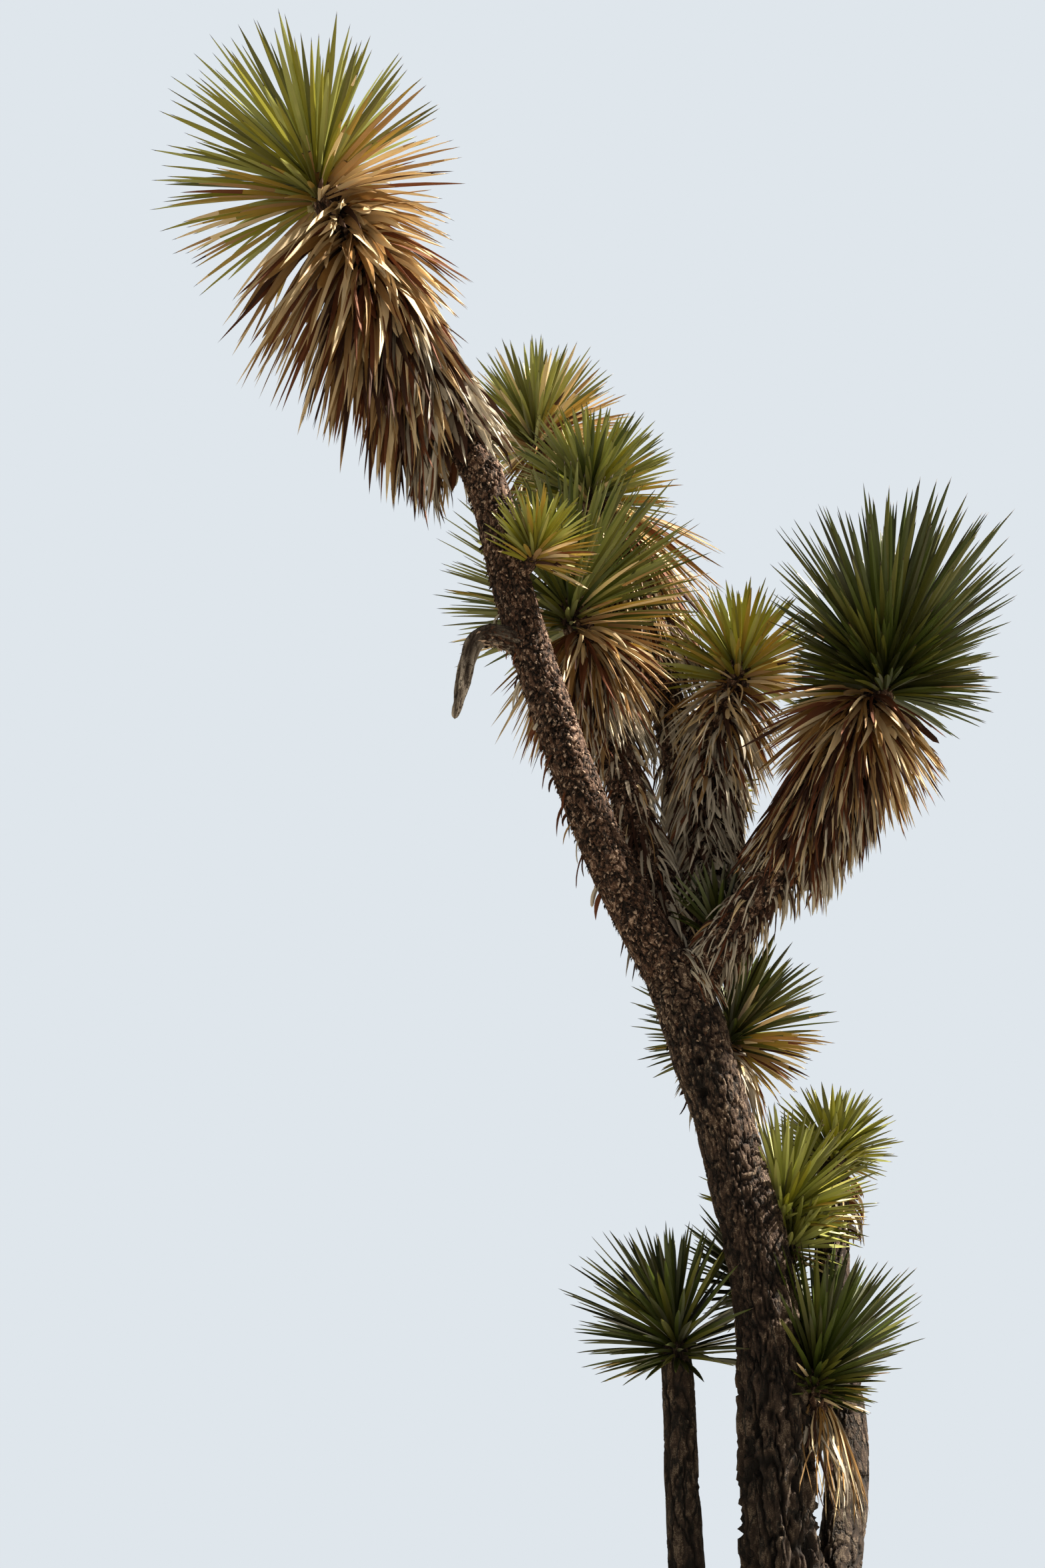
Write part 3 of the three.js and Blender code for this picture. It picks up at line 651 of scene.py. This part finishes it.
def bladePiece(name, blades, materials, slot, *nodes):
    count, stations = blades["half"].shape
    centre, across, top = blades["centre"], blades["across"], blades["top"]
    spread = across * blades["half"][..., None]
    rise = top * blades["fold"][..., None]
    body = centre[:, :-1]
    keel = body - top * blades["thick"][..., None]
    rings = np.stack([body + spread + rise, body, body - spread + rise, keel], axis=2)
    perBlade = 4 * stations + 1
    places = np.concatenate([rings.reshape(count, -1, 3), centre[:, -1:]], axis=1).reshape(-1, 3)
    firsts = np.arange(count) * perBlade
    corner = np.arange(4)
    after = (corner + 1) % 4
    ring = np.arange(stations - 1)[:, None] * 4
    quads = np.stack([ring + corner, ring + after, ring + 4 + after, ring + 4 + corner], axis=-1)
    quads = quads.reshape(-1, 4) + firsts[:, None, None]
    lastRing = (stations - 1) * 4
    pointFaces = np.stack([lastRing + corner, lastRing + after, np.full(4, perBlade - 1)], axis=-1)
    triangles = np.vstack([pointFaces, [[1, 0, 3], [1, 3, 2]]]) + firsts[:, None, None]
    segment = np.repeat(np.arange(stations - 1), 4)
    inner, outer = column(blades["inner"]), column(blades["outer"])
    tones = np.where(segment < column(blades["turnsAt"]), inner, outer)
    endTones = np.tile([blades["point"]] * 4 + [blades["base"]] * 2, (count, 1))
    if blades["point"] == ownTone:
        endTones[:, :4] = outer
    if blades["base"] == ownTone:
        endTones[:, 4:] = inner
    else:
        tones[:, segment == 0] = blades["base"]
    quads, triangles = quads.reshape(-1, 4), triangles.reshape(-1, 3)
    mesh = bpy.data.meshes.new(name)
    mesh.vertices.add(len(places))
    mesh.vertices.foreach_set("co", places.ravel())
    corners = np.concatenate([quads.ravel(), triangles.ravel()])
    mesh.loops.add(len(corners))
    mesh.loops.foreach_set("vertex_index", corners)
    starts = np.concatenate([np.arange(len(quads)) * 4, quads.size + np.arange(len(triangles)) * 3])
    mesh.polygons.add(len(starts))
    mesh.polygons.foreach_set("loop_start", starts)
    used, slots = np.unique(np.concatenate([tones.ravel(), endTones.ravel()]), return_inverse=True)
    mesh.polygons.foreach_set("material_index", slots)
    for tone in used:
        mesh.materials.append(materials[tone])
    mesh.update(calc_edges=True)
    mesh.shade_smooth()
    edges = np.empty(len(mesh.edges) * 2, int)
    mesh.edges.foreach_get("vertices", edges)
    lengthwise = np.abs(np.diff(edges.reshape(-1, 2), axis=1))[:, 0] == 4
    mesh.attributes.new("sharp_edge", "BOOLEAN", "EDGE").data.foreach_set("value", lengthwise)
    placePiece(name, mesh, slot, *nodes)


def squared(across, ahead):
    return unit(across - ahead * dot(across, ahead))


def turned(across, ahead, angle):
    return across * np.cos(angle)[..., None] + np.cross(ahead, across) * np.sin(angle)[..., None]


# Blades of one tone from base to point
def bladesAlong(centre, across, along, half, fold, thick, tone):
    return {
        "centre": centre, "across": across, "top": np.cross(along, across), "half": half, "fold": fold,
        "thick": np.broadcast_to(thick * mm, half.shape), "inner": tone, "outer": tone,
        "turnsAt": np.zeros(len(centre)), "base": ownTone, "point": ownTone,
    }


# Leaves are rolled at their base and twist on towards their point
def rolled(across, along, t, leaf, random):
    roll = random.normal(0, leaf["rollSpread"], (len(along), 1))
    roll = roll + random.normal(0, leaf["twistSpread"], (len(along), 1)) * t
    return turned(squared(across[:, None], along), along, roll)


def halfWidths(width, size, t, leaf, random):
    width = width * mm * mix(leaf["narrowest"], 1, size / (leaf["fullLength"] * mm))
    width = width * random.uniform(*leaf["unevenWidth"], len(size))
    return column(width) / 2 * np.interp(t, leaf["stations"], leaf["widths"])


outOfMass, intoLimb = 0.02, 0.004  # how far leaves may go, in metres


# Shortens the leaves that would reach out of their mass
def keptInside(root, points, node):
    lowest, highest = (np.array(corner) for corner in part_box(node))
    reach = points - root[:, None]
    with np.errstate(divide="ignore", invalid="ignore"):
        upward = (highest + outOfMass - root)[:, None] / reach
        downward = (lowest - outOfMass - root)[:, None] / reach
    limit = np.where(np.abs(reach) < tiny, 1, np.where(reach > 0, upward, downward))
    share = np.clip(limit.min(axis=(1, 2)), 0.3, 1)
    return root[:, None] + reach * share[:, None, None]


# Leaves out the blades that run into a limb, other than at their own root
def clearOfLimbs(blades, own):
    points = blades["centre"]
    meets = np.zeros(len(points), bool)
    for name, limb in limbs.items():
        if name == own or name in shoots:
            continue
        shares = np.linspace(0, limb.get("skirtFrom", 1), 90)
        middle, radius = framesAlong(limb, shares)[0], radiusAt(limb, shares)
        for place in range(2, points.shape[1]):
            away = np.linalg.norm(points[:, place, None] - middle, axis=2)
            meets |= (away < radius - intoLimb).any(axis=1)
    return {part: v[~meets] if isinstance(v, np.ndarray) else v for part, v in blades.items()}


def pick(random, tones, count):
    return np.array([toneIndex[tone] for tone in tones])[random.integers(0, len(tones), count)]


# Living leaves: stiff, channelled, widest past the middle, with a sharp brown point. Ages run from 0,
# the heart, to 1.
livingLeaf = {
    "stations": [0, 0.05, 0.16, 0.34, 0.54, 0.72, 0.87, 0.965, 1.0],
    "widths": [0.8, 0.6, 0.66, 0.9, 1.0, 0.84, 0.48, 0.14, 0],
    "width": 20, "fullLength": 540, "thickness": 3, "tipThickness": 0.35, "fold": 0.45,
    "narrowest": 0.6,  # a very short leaf's share of the width
    "uneven": (0.86, 1.03), "unevenWidth": (0.85, 1.12), "unevenFold": (0.6, 1.6), "unevenTurn": 0.3,
    "youngest": 0.84,  # an opening leaf's share of its length
    "rootsDown": 0.86, "rootsOut": 0.35, "droop": 0.05, "wilt": 0.35,
    "rollSpread": 0.25, "twistSpread": 0.15, "brokenAges": (0.25, 0.8), "brokenAt": (0.2, 0.42),
    "dryTip": 0.45, "faded": 0.62, "dead": 0.8,
    "turned": ["tan", "straw", "tan", "redBrown", "straw", "umber", "tan", "straw"],
    "fading": ["gold", "straw", "gold", "tan"],
    "dryStumps": ["tan", "amber", "straw"],
    "greenStumps": ["paleGreen", "tan"],
}


def livingLeaves(name, limb, seed):
    rosette, leaf = limb["rosette"], livingLeaf
    random = np.random.default_rng(seed)
    count, length = rosette["leaves"], rosette["length"] * mm
    order = np.arange(count)
    age = (order + 0.5) / count
    turn = order * goldenAngle + random.random(count) * leaf["unevenTurn"] + random.normal(0, 0.06, count)
    grown = np.minimum(1, leaf["youngest"] + age)
    ageing = smooth(*rosette.get("fade", usualFade), age)
    size = length * grown * mix(1, rosette.get("oldest", usualOldest), ageing)
    size = size * mix(*leaf["uneven"], random.random(count))
    heartCos, widestCos = math.cos(math.radians(5)), math.cos(math.radians(rosette["widest"]))
    lean = np.arccos(mix(heartCos, widestCos, age)) + random.normal(0, 0.045, count)
    heart = framesAlong(limb, 1)[0][0]
    up = unit(np.array(rosette["axis"], float))
    front = unit(towardsViewer - up * dot(up, towardsViewer))
    side = np.cross(up, front)
    out = outward(front, side, turn)
    size = size * (1 + out @ np.array(rosette.get("fuller", (0, 0, 0))))
    direction = up * column(np.cos(lean)) + out * column(np.sin(lean))
    root = heart - up * column(length * rosette.get("crown", usualCrown) * leaf["rootsDown"] * age)
    root = root + out * column(limb["radii"][-1] * mm * leaf["rootsOut"] * np.sqrt(age))
    stations = np.array(leaf["stations"])
    youngest, oldest = leaf["brokenAges"]
    faces = (out @ towardsViewer > 0.3) & (age > youngest) & (age < oldest)
    stumps = random.permutation(np.flatnonzero(faces))[: limb.get("broken", 0)]
    cut = np.ones((count, 1))
    cut[stumps, 0] = random.uniform(*leaf["brokenAt"], len(stumps))
    t = cut * stations
    dryness = limb["dry"] * age**1.6 + random.normal(0, 0.12, count)
    scorched = np.maximum(0, out @ np.array(limb.get("scorched", (0, 0, 0))))
    dryness = dryness + scorched * smooth(0.1, 0.6, age)
    bend = random.normal(leaf["droop"] * 0.4, 0.02, count) + leaf["droop"] * age
    bend = bend + leaf["wilt"] * smooth(0.6, 1.1, dryness) * random.random(count) ** 2
    sag = hanging - direction * dot(direction, hanging)
    centre = root[:, None] + direction[:, None] * (column(size) * t)[..., None]
    centre = centre + sag[:, None] * (column(bend * size) * t**2)[..., None]
    sideways = outward(front, side, turn + math.pi / 2)
    sway = random.normal(0, 0.014, count)
    centre = centre + sideways[:, None] * (column(sway * size) * t**2)[..., None]
    centre = keptInside(root, centre, f"{name}_rosette")
    ahead = unit(np.diff(centre, axis=1))
    across = rolled(sideways, ahead, stations[:-1], leaf, random)
    half = halfWidths(leaf["width"], size, t[:, :-1], leaf, random)
    inner = pick(random, limb["greens"], count)
    dead = pick(random, leaf["turned"], count)
    fading = pick(random, leaf["fading"], count)
    turnsAt = np.where(dryness > leaf["dryTip"], random.integers(2, 7, count), 7)
    outer = np.where(dryness > leaf["faded"], dead, fading)
    inner = np.where(dryness > leaf["faded"], fading, inner)
    inner = np.where(dryness > leaf["dead"], dead, inner)
    stumpTones = leaf["dryStumps"] if limb["dry"] > 0.6 else leaf["greenStumps"]
    inner[stumps] = outer[stumps] = pick(random, stumpTones, len(stumps))
    fold = half * leaf["fold"] * random.uniform(*leaf["unevenFold"], (count, 1))
    thick = leaf["thickness"] * mix(1, leaf["tipThickness"], stations[:-1])
    blades = bladesAlong(centre, across, ahead, half, fold, thick, inner)
    blades.update(outer=outer, turnsAt=turnsAt, base=toneIndex["leafBase"], point=toneIndex["spine"])
    blades = clearOfLimbs(blades, name)
    bladePiece(f"{name}_living_leaves", blades, leafMaterials, "living_leaf", f"{name}_rosette")


# Dead leaves: folded down at the stem, hanging, dry, half rolled up, twisted and some broken off. They are
# fresh at the skirt's top, level 1, and weathered at its foot; low on the sunny side, more of them are pale
# grey.
deadLeaf = {
    "stations": [0, 0.1, 0.24, 0.4, 0.58, 0.76, 0.92, 1.0],
    "widths": [0.7, 0.72, 0.92, 1.0, 0.88, 0.6, 0.24, 0],
    "width": 31, "fullLength": 450, "thickness": 2,  # in millimetres
    "narrowest": 0.7, "unevenWidth": (0.45, 1.2), "folded": (0.1, 0.95), "rolledIn": 0.8,
    "curl": 0.045, "rollSpread": 0.6, "twistSpread": 1.1,
    "brokenShare": 0.22, "brokenAt": (0.4, 0.85),
    "raggedFoot": 2.6,  # how much more the lowest leaves curl and break
    "knee": 0.35, "toBend": 0.3, "toTip": 0.6, "droop": 0.08,
    "offLimb": 28,  # the bend, in millimetres
    "levels": (0.04, 0.98), "uneven": (0.72, 1.05), "unevenTurn": 0.5, "unevenSpread": (0.45, 1),
    "gathering": 5,  # the fewer leaves stand out like the highest
    "trail": (0.5, 0.1),  # down the limb, beside and under it
    "leastOut": 0.2, "bunches": 11, "bunching": 0.75, "astray": 0.12,
    "freshShare": 0.75, "sunnySide": (0.75, -0.15, 0.3),
    "freshTones": ["straw", "amber", "tan", "straw", "amber", "redBrown", "straw"],
    "brownTones": [
        "umber", "redBrown", "tan", "straw", "umber", "straw", "redBrown", "tan", "redBrown", "umber",
    ],
    "redTones": ["redBrown", "straw", "tan", "umber", "straw", "redBrown", "bleached"],
    "greyTones": ["bleached", "weathered", "bleached", "umber", "bleached"],
    "paleTones": ["bleached", "weathered", "umber", "bleached", "straw", "weathered"],
    "strawTones": ["straw", "tan", "straw", "redBrown", "straw", "umber", "bleached"],
}


# The blades of dead leaves that hang from their roots over their bends to their tips. Ragged is how much
# more than usual they curl and break.
def hangingBlades(root, bend, tip, across, size, own, ragged, tone, random, node):
    count, leaf = len(root), deadLeaf
    stations = np.array(leaf["stations"])
    broken = random.random((count, 1)) < leaf["brokenShare"] * ragged
    t = np.where(broken, random.uniform(*leaf["brokenAt"], (count, 1)), 1) * stations
    knee = bend + (bend - (root + tip) / 2) * leaf["knee"]
    weights = [(1 - t) ** 2, 2 * t * (1 - t), t**2]
    centre = sum(w[..., None] * p[:, None] for w, p in zip(weights, (root, knee, tip)))
    curl = np.sin(t * random.uniform(2, 5, (count, 1)) + random.uniform(0, 6, (count, 1))) * t
    curl = curl * column(size) * ragged * own.get("curl", leaf["curl"])
    centre = centre + across[:, None] * curl[..., None]
    if node:
        centre = keptInside(root, centre, node)
    along = unit(np.diff(centre, axis=1))
    across = rolled(across, along, t[:, :-1], leaf, random)
    full = halfWidths(own.get("width", leaf["width"]), size, t[:, :-1], leaf, random)
    folded = mix(*leaf["folded"], random.random((count, 1)) ** 1.5)
    half = full * np.sqrt(1 - folded**2 * leaf["rolledIn"])
    return bladesAlong(centre, across, along, half, full * folded, leaf["thickness"], tone)


def deadLeaves(name, limb, seed):
    skirt, leaf = limb["skirt"], deadLeaf
    random = np.random.default_rng(seed)
    count, length = skirt["leaves"], skirt["length"] * mm
    order = np.arange(count)
    level = 1 - (order + 0.5) / count
    turn = order * goldenAngle + random.random(count) * leaf["unevenTurn"]
    phase = np.interp(level, np.linspace(0, 1, 9), random.uniform(0, 5, 9)) + leaf["bunches"] * turn
    turn = turn + leaf["bunching"] / leaf["bunches"] * np.sin(phase)
    size = length * mix(skirt.get("short", usualShort), 1, np.sqrt(level))
    size = size * random.uniform(*leaf["uneven"], count)
    share = mix(limb["leavesFrom"], limb["crownFrom"], mix(*leaf["levels"], level))
    middle, ahead, out, sideways = leafFrames(limb, share, turn)
    radius = column(radiusAt(limb, share))
    size = size * (1 + out @ np.array(skirt.get("fuller", (0, 0, 0))))
    spread = mix(skirt.get("foot", usualFoot), skirt["flare"], level ** leaf["gathering"])
    spread = spread * random.uniform(*leaf["unevenSpread"], count)
    trail = mix(*leaf["trail"], np.maximum(0, out @ hanging))
    direction = unit(hanging - ahead * column(trail) + out * column(spread))
    astray = random.normal(0, 0.13, count) + leaf["astray"] * np.cos(phase)
    direction = unit(direction + sideways * column(astray))
    direction = unit(direction + out * np.maximum(0, leaf["leastOut"] - dot(direction, out)))
    root = middle + out * radius * 0.8
    bend = middle + out * (radius + leaf["offLimb"] * mm) + direction * column(size * leaf["toBend"])
    tip = bend + direction * column(size * leaf["toTip"]) + hanging * column(size * leaf["droop"])
    tone = pick(random, leaf[limb.get("dead", "brownTones")], count)
    fresh = random.random(count) < leaf["freshShare"] * smooth(0.5, 0.9, level)
    tone = np.where(fresh, pick(random, leaf["freshTones"], count), tone)
    weathering = limb["grey"] * smooth(limb.get("greyTo", usualGreyTo), 0, level)
    sunny = np.maximum(0, out @ np.array(leaf["sunnySide"])) * smooth(0.8, 0.3, level)
    grey = random.random(count) < weathering + sunny
    tone = np.where(grey, pick(random, leaf["greyTones"], count), tone)
    ragged = column(mix(leaf["raggedFoot"], 1, smooth(0, 0.5, level)))
    blades = hangingBlades(root, bend, tip, sideways, size, skirt, ragged, tone, random, f"{name}_skirt")
    blades = clearOfLimbs(blades, name)
    bladePiece(f"{name}_dead_leaves", blades, leafMaterials, "dead_leaf", f"{name}_skirt")


# Single dead leaves that still hang from a bare bough
strayLeaf = {"uneven": (0.3, 1), "out": (0.05, 0.5), "down": 0.6, "alongLimb": 0.7, "offLimb": 12, "sunk": 10}


def strayLeaves(name, limb, seed):
    random, strays, leaf = np.random.default_rng(seed), limb["strays"], strayLeaf
    count = strays["count"]
    share = random.uniform(strays["from"], strays["to"], count)
    turn = random.uniform(*strays.get("turns", allRound), count) * math.pi
    middle, ahead, out, sideways = leafFrames(limb, share, turn)
    size = random.uniform(*leaf["uneven"], count) * strays["longest"] * mm
    direction = hanging * leaf["down"] - ahead * leaf["alongLimb"]
    direction = unit(direction + out * random.uniform(*leaf["out"], (count, 1)))
    surface = middle + out * column(radiusAt(limb, share))
    root = surface - out * leaf["sunk"] * mm
    bend = surface + out * leaf["offLimb"] * mm + direction * column(size * deadLeaf["toBend"])
    tip = bend + direction * column(size * deadLeaf["toTip"])
    grey = random.random(count) < strays["grey"]
    greys = pick(random, deadLeaf["greyTones"], count)
    tone = np.where(grey, greys, pick(random, deadLeaf["brownTones"], count))
    blades = hangingBlades(root, bend, tip, sideways, size, strays, 1, tone, random, "")
    bladePiece(f"{name}_stray_leaves", blades, leafMaterials, "dead_leaf")


# Leaf bases: what fallen leaves leave on the boughs, as thousands of small shaggy scales
leafBase = {
    "stations": [0, 0.62, 1.0],
    "widths": [1.0, 0.75],
    "areaEach": 62,  # square millimetres of bark for each scale
    "length": 20, "width": 13, "thickness": 1.1, "sunk": 9, "unevenLength": (0.5, 1.25),
    "unevenWidth": (0.5, 1.1), "out": (0.1, 0.7), "down": 0.5, "fold": -0.25, "bow": 0.25, "bowTurn": 2.6,
    "turnSpread": 0.15, "astraySpread": 0.22, "rollSpread": 0.35, "toneShares": [0.4, 0.36, 0.24],
}


def leafBases(name, limb, fromShare, toShare, density, seed):
    random, base = np.random.default_rng(seed), leafBase
    stretch = np.interp([fromShare, toShare], limb["shares"], limb["travel"])
    area = (stretch[1] - stretch[0]) * 2 * math.pi * radiusAt(limb, (fromShare + toShare) / 2)
    count = int(area / (base["areaEach"] * mm * mm) * density)
    order = np.arange(count)
    travel = mix(stretch[0], stretch[1], (order + random.random(count)) / count)
    shares = np.interp(travel, limb["travel"], limb["shares"])
    turn = order * goldenAngle + random.normal(0, base["turnSpread"], count)
    middle, ahead, out, sideways = leafFrames(limb, shares, turn)
    direction = out * column(random.uniform(*base["out"], count)) + unit(hanging * base["down"] - ahead)
    direction = unit(direction + random.normal(0, base["astraySpread"], (count, 3)))
    size = column(base["length"] * mm * random.uniform(*base["unevenLength"], count) ** 1.3)
    root = middle + out * column(radiusAt(limb, shares) - base["sunk"] * mm)
    stations = np.array(base["stations"])
    bow = base["bow"] * np.sin(stations * base["bowTurn"])
    centre = root[:, None] + direction[:, None] * (size * stations)[..., None]
    centre = centre + out[:, None] * (size * bow)[..., None]
    along = unit(np.diff(centre, axis=1))
    across = squared(sideways[:, None], along)
    across = turned(across, along, random.normal(0, base["rollSpread"], (count, 1)) * np.ones(2))
    width = column(base["width"] * mm * random.uniform(*base["unevenWidth"], count))
    half = width / 2 * np.array(base["widths"])
    tone = random.choice(len(flakeMaterials), count, p=base["toneShares"])
    blades = bladesAlong(centre, across, along, half, half * base["fold"], base["thickness"], tone)
    bladePiece(f"{name}_leaf_bases", blades, flakeMaterials, "young_bark")


# Growing the plant
leafy = {**arms, **shoots}
limbs = {"trunk": trunk, "dead_stub": deadStub, **leafy}
for limb in limbs.values():
    growLimb(limb)
for name, limb in leafy.items():
    rosette, skirt = limb["rosette"], limb.get("skirt", {})
    crown = rosette["length"] * rosette.get("crown", usualCrown) * mm
    height = skirt["height"] * mm if "height" in skirt else limb["travel"][-1] - crown
    limb["crownFrom"] = shareShortOfTip(limb, crown)
    limb["skirtFrom"] = shareShortOfTip(limb, crown + height)
    limb["leavesFrom"] = shareShortOfTip(limb, crown + height - skirt.get("lift", 0) * mm)

oldArms = ("second", "low")
armRows, shootRows = 5.5, 5  # the bark's rows, in millimetres

trunkShape = {"around": 230, "along": 400, "relief": ridgedRelief, "roundFrom": 0.975, "onGround": True}
barkTube("trunk_bark", trunk, trunkShape, barkMaterials["old_bark"], "bark", "trunk")
print("trunk made")
for name, limb in arms.items():
    old = name in oldArms
    shape = {
        "around": 130 if old or name == "left" else 100,
        "along": int(limb["travel"][-1] / (armRows * mm)),
        "relief": stemRelief if old else boughRelief,
        "roundFrom": 0.97,
    }
    bark = barkMaterials["old_bark" if old else "young_bark"]
    barkTube(f"{name}_bark", limb, shape, bark, "young_bark", f"{name}_bough")
for name, limb in shoots.items():
    rows = int(limb["travel"][-1] / (shootRows * mm))
    shape = {"around": 60, "along": rows, "relief": boughRelief, "roundFrom": 0.8}
    barkTube(f"{name}_stem", limb, shape, barkMaterials["young_bark"], "young_bark")
stubShape = {"around": 70, "along": 90, "relief": stubRelief, "roundFrom": 0.97}
barkTube("dead_stub_wood", deadStub, stubShape, barkMaterials["grey_wood"], "grey_wood", "dead_stub")
print("boughs made")

leafBases("trunk", trunk, fromShare=0.8, toShare=0.99, density=0.4, seed=31)
for i, (name, limb) in enumerate(arms.items()):
    if name not in oldArms:
        underSkirt = min(limb["skirtFrom"] + 0.2, limb["crownFrom"])
        leafBases(name, limb, fromShare=0.03, toShare=underSkirt, density=1.0, seed=41 + i)
leafBases("dead_stub", deadStub, fromShare=0.02, toShare=0.5, density=1.6, seed=61)
print("leaf bases made")

for i, (name, limb) in enumerate(leafy.items()):
    livingLeaves(name, limb, seed=101 + 17 * i)
    if "skirt" in limb:
        deadLeaves(name, limb, seed=907 + 13 * i)
for i, (name, limb) in enumerate(limbs.items()):
    if "strays" in limb:
        strayLeaves(name, limb, seed=53 + i)
print("leaves made")


# Studio
def stagePiece(name, shape, material):
    mesh = bpy.data.meshes.new(name)
    shape.to_mesh(mesh)
    shape.free()
    mesh.materials.append(material)
    piece = bpy.data.objects.new(name, mesh)
    bpy.context.scene.collection.objects.link(piece)
    piece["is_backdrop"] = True
    return piece


def addStudio():
    scene = bpy.context.scene
    scene.view_settings.view_transform = "Standard"
    disc = bmesh.new()
    bmesh.ops.create_circle(disc, cap_ends=True, segments=96, radius=studio["floorRadius"])
    stagePiece("studio_floor", disc, plainMaterial("matt_studio_floor", studio["floorColour"], roughness=0.9))
    dome = bmesh.new()
    bmesh.ops.create_uvsphere(dome, u_segments=48, v_segments=24, radius=studio["floorRadius"])
    bmesh.ops.reverse_faces(dome, faces=dome.faces)
    paper = newMaterial("glowing_backdrop")
    tree = paper.node_tree
    glow = {"Color": linear(studio["backdropColour"]), "Strength": studio["backdropGlow"]}
    shader = addNode(tree, "Emission", glow)
    addNode(tree, "OutputMaterial", {"Surface": shader.outputs[0]})
    backdrop = stagePiece("studio_backdrop", dome, paper)
    backdrop.visible_diffuse = False
    backdrop.visible_glossy = False
    backdrop.visible_transmission = False
    backdrop.visible_shadow = False
    lamp = bpy.data.lights.new("key_light", "SUN")
    lamp.energy = studio["keyStrength"]
    lamp.angle = math.radians(studio["keySoftness"])
    lamp.color = linear(studio["keyColour"])[:3]
    key = bpy.data.objects.new("key_light", lamp)
    key.rotation_euler = Vector(studio["keyFrom"]).to_track_quat("Z", "Y").to_euler()
    scene.collection.objects.link(key)
    world = bpy.data.worlds.new("studio_fill")
    world.use_nodes = True
    tree = world.node_tree
    tree.nodes.clear()
    glow = {"Color": linear(studio["fillColour"]), "Strength": studio["fillStrength"]}
    shader = addNode(tree, "Background", glow)
    addNode(tree, "OutputWorld", {"Surface": shader.outputs[0]})
    scene.world = world


def addCamera():
    data = bpy.data.cameras.new("camera")
    data.lens = camera["lens"]
    data.sensor_width = camera["longSide"]
    viewer = bpy.data.objects.new("camera", data)
    viewer.location = camera["place"]
    viewer.rotation_euler = (math.radians(90 + camera["tiltUp"]), 0, 0)
    bpy.context.scene.collection.objects.link(viewer)
    bpy.context.scene.camera = viewer


addCamera()
addStudio()
print("studio set")

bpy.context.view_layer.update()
triangles = sum(sum(len(p.vertices) - 2 for p in o.data.polygons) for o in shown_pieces() if o.type == "MESH")
print("triangles:", triangles)
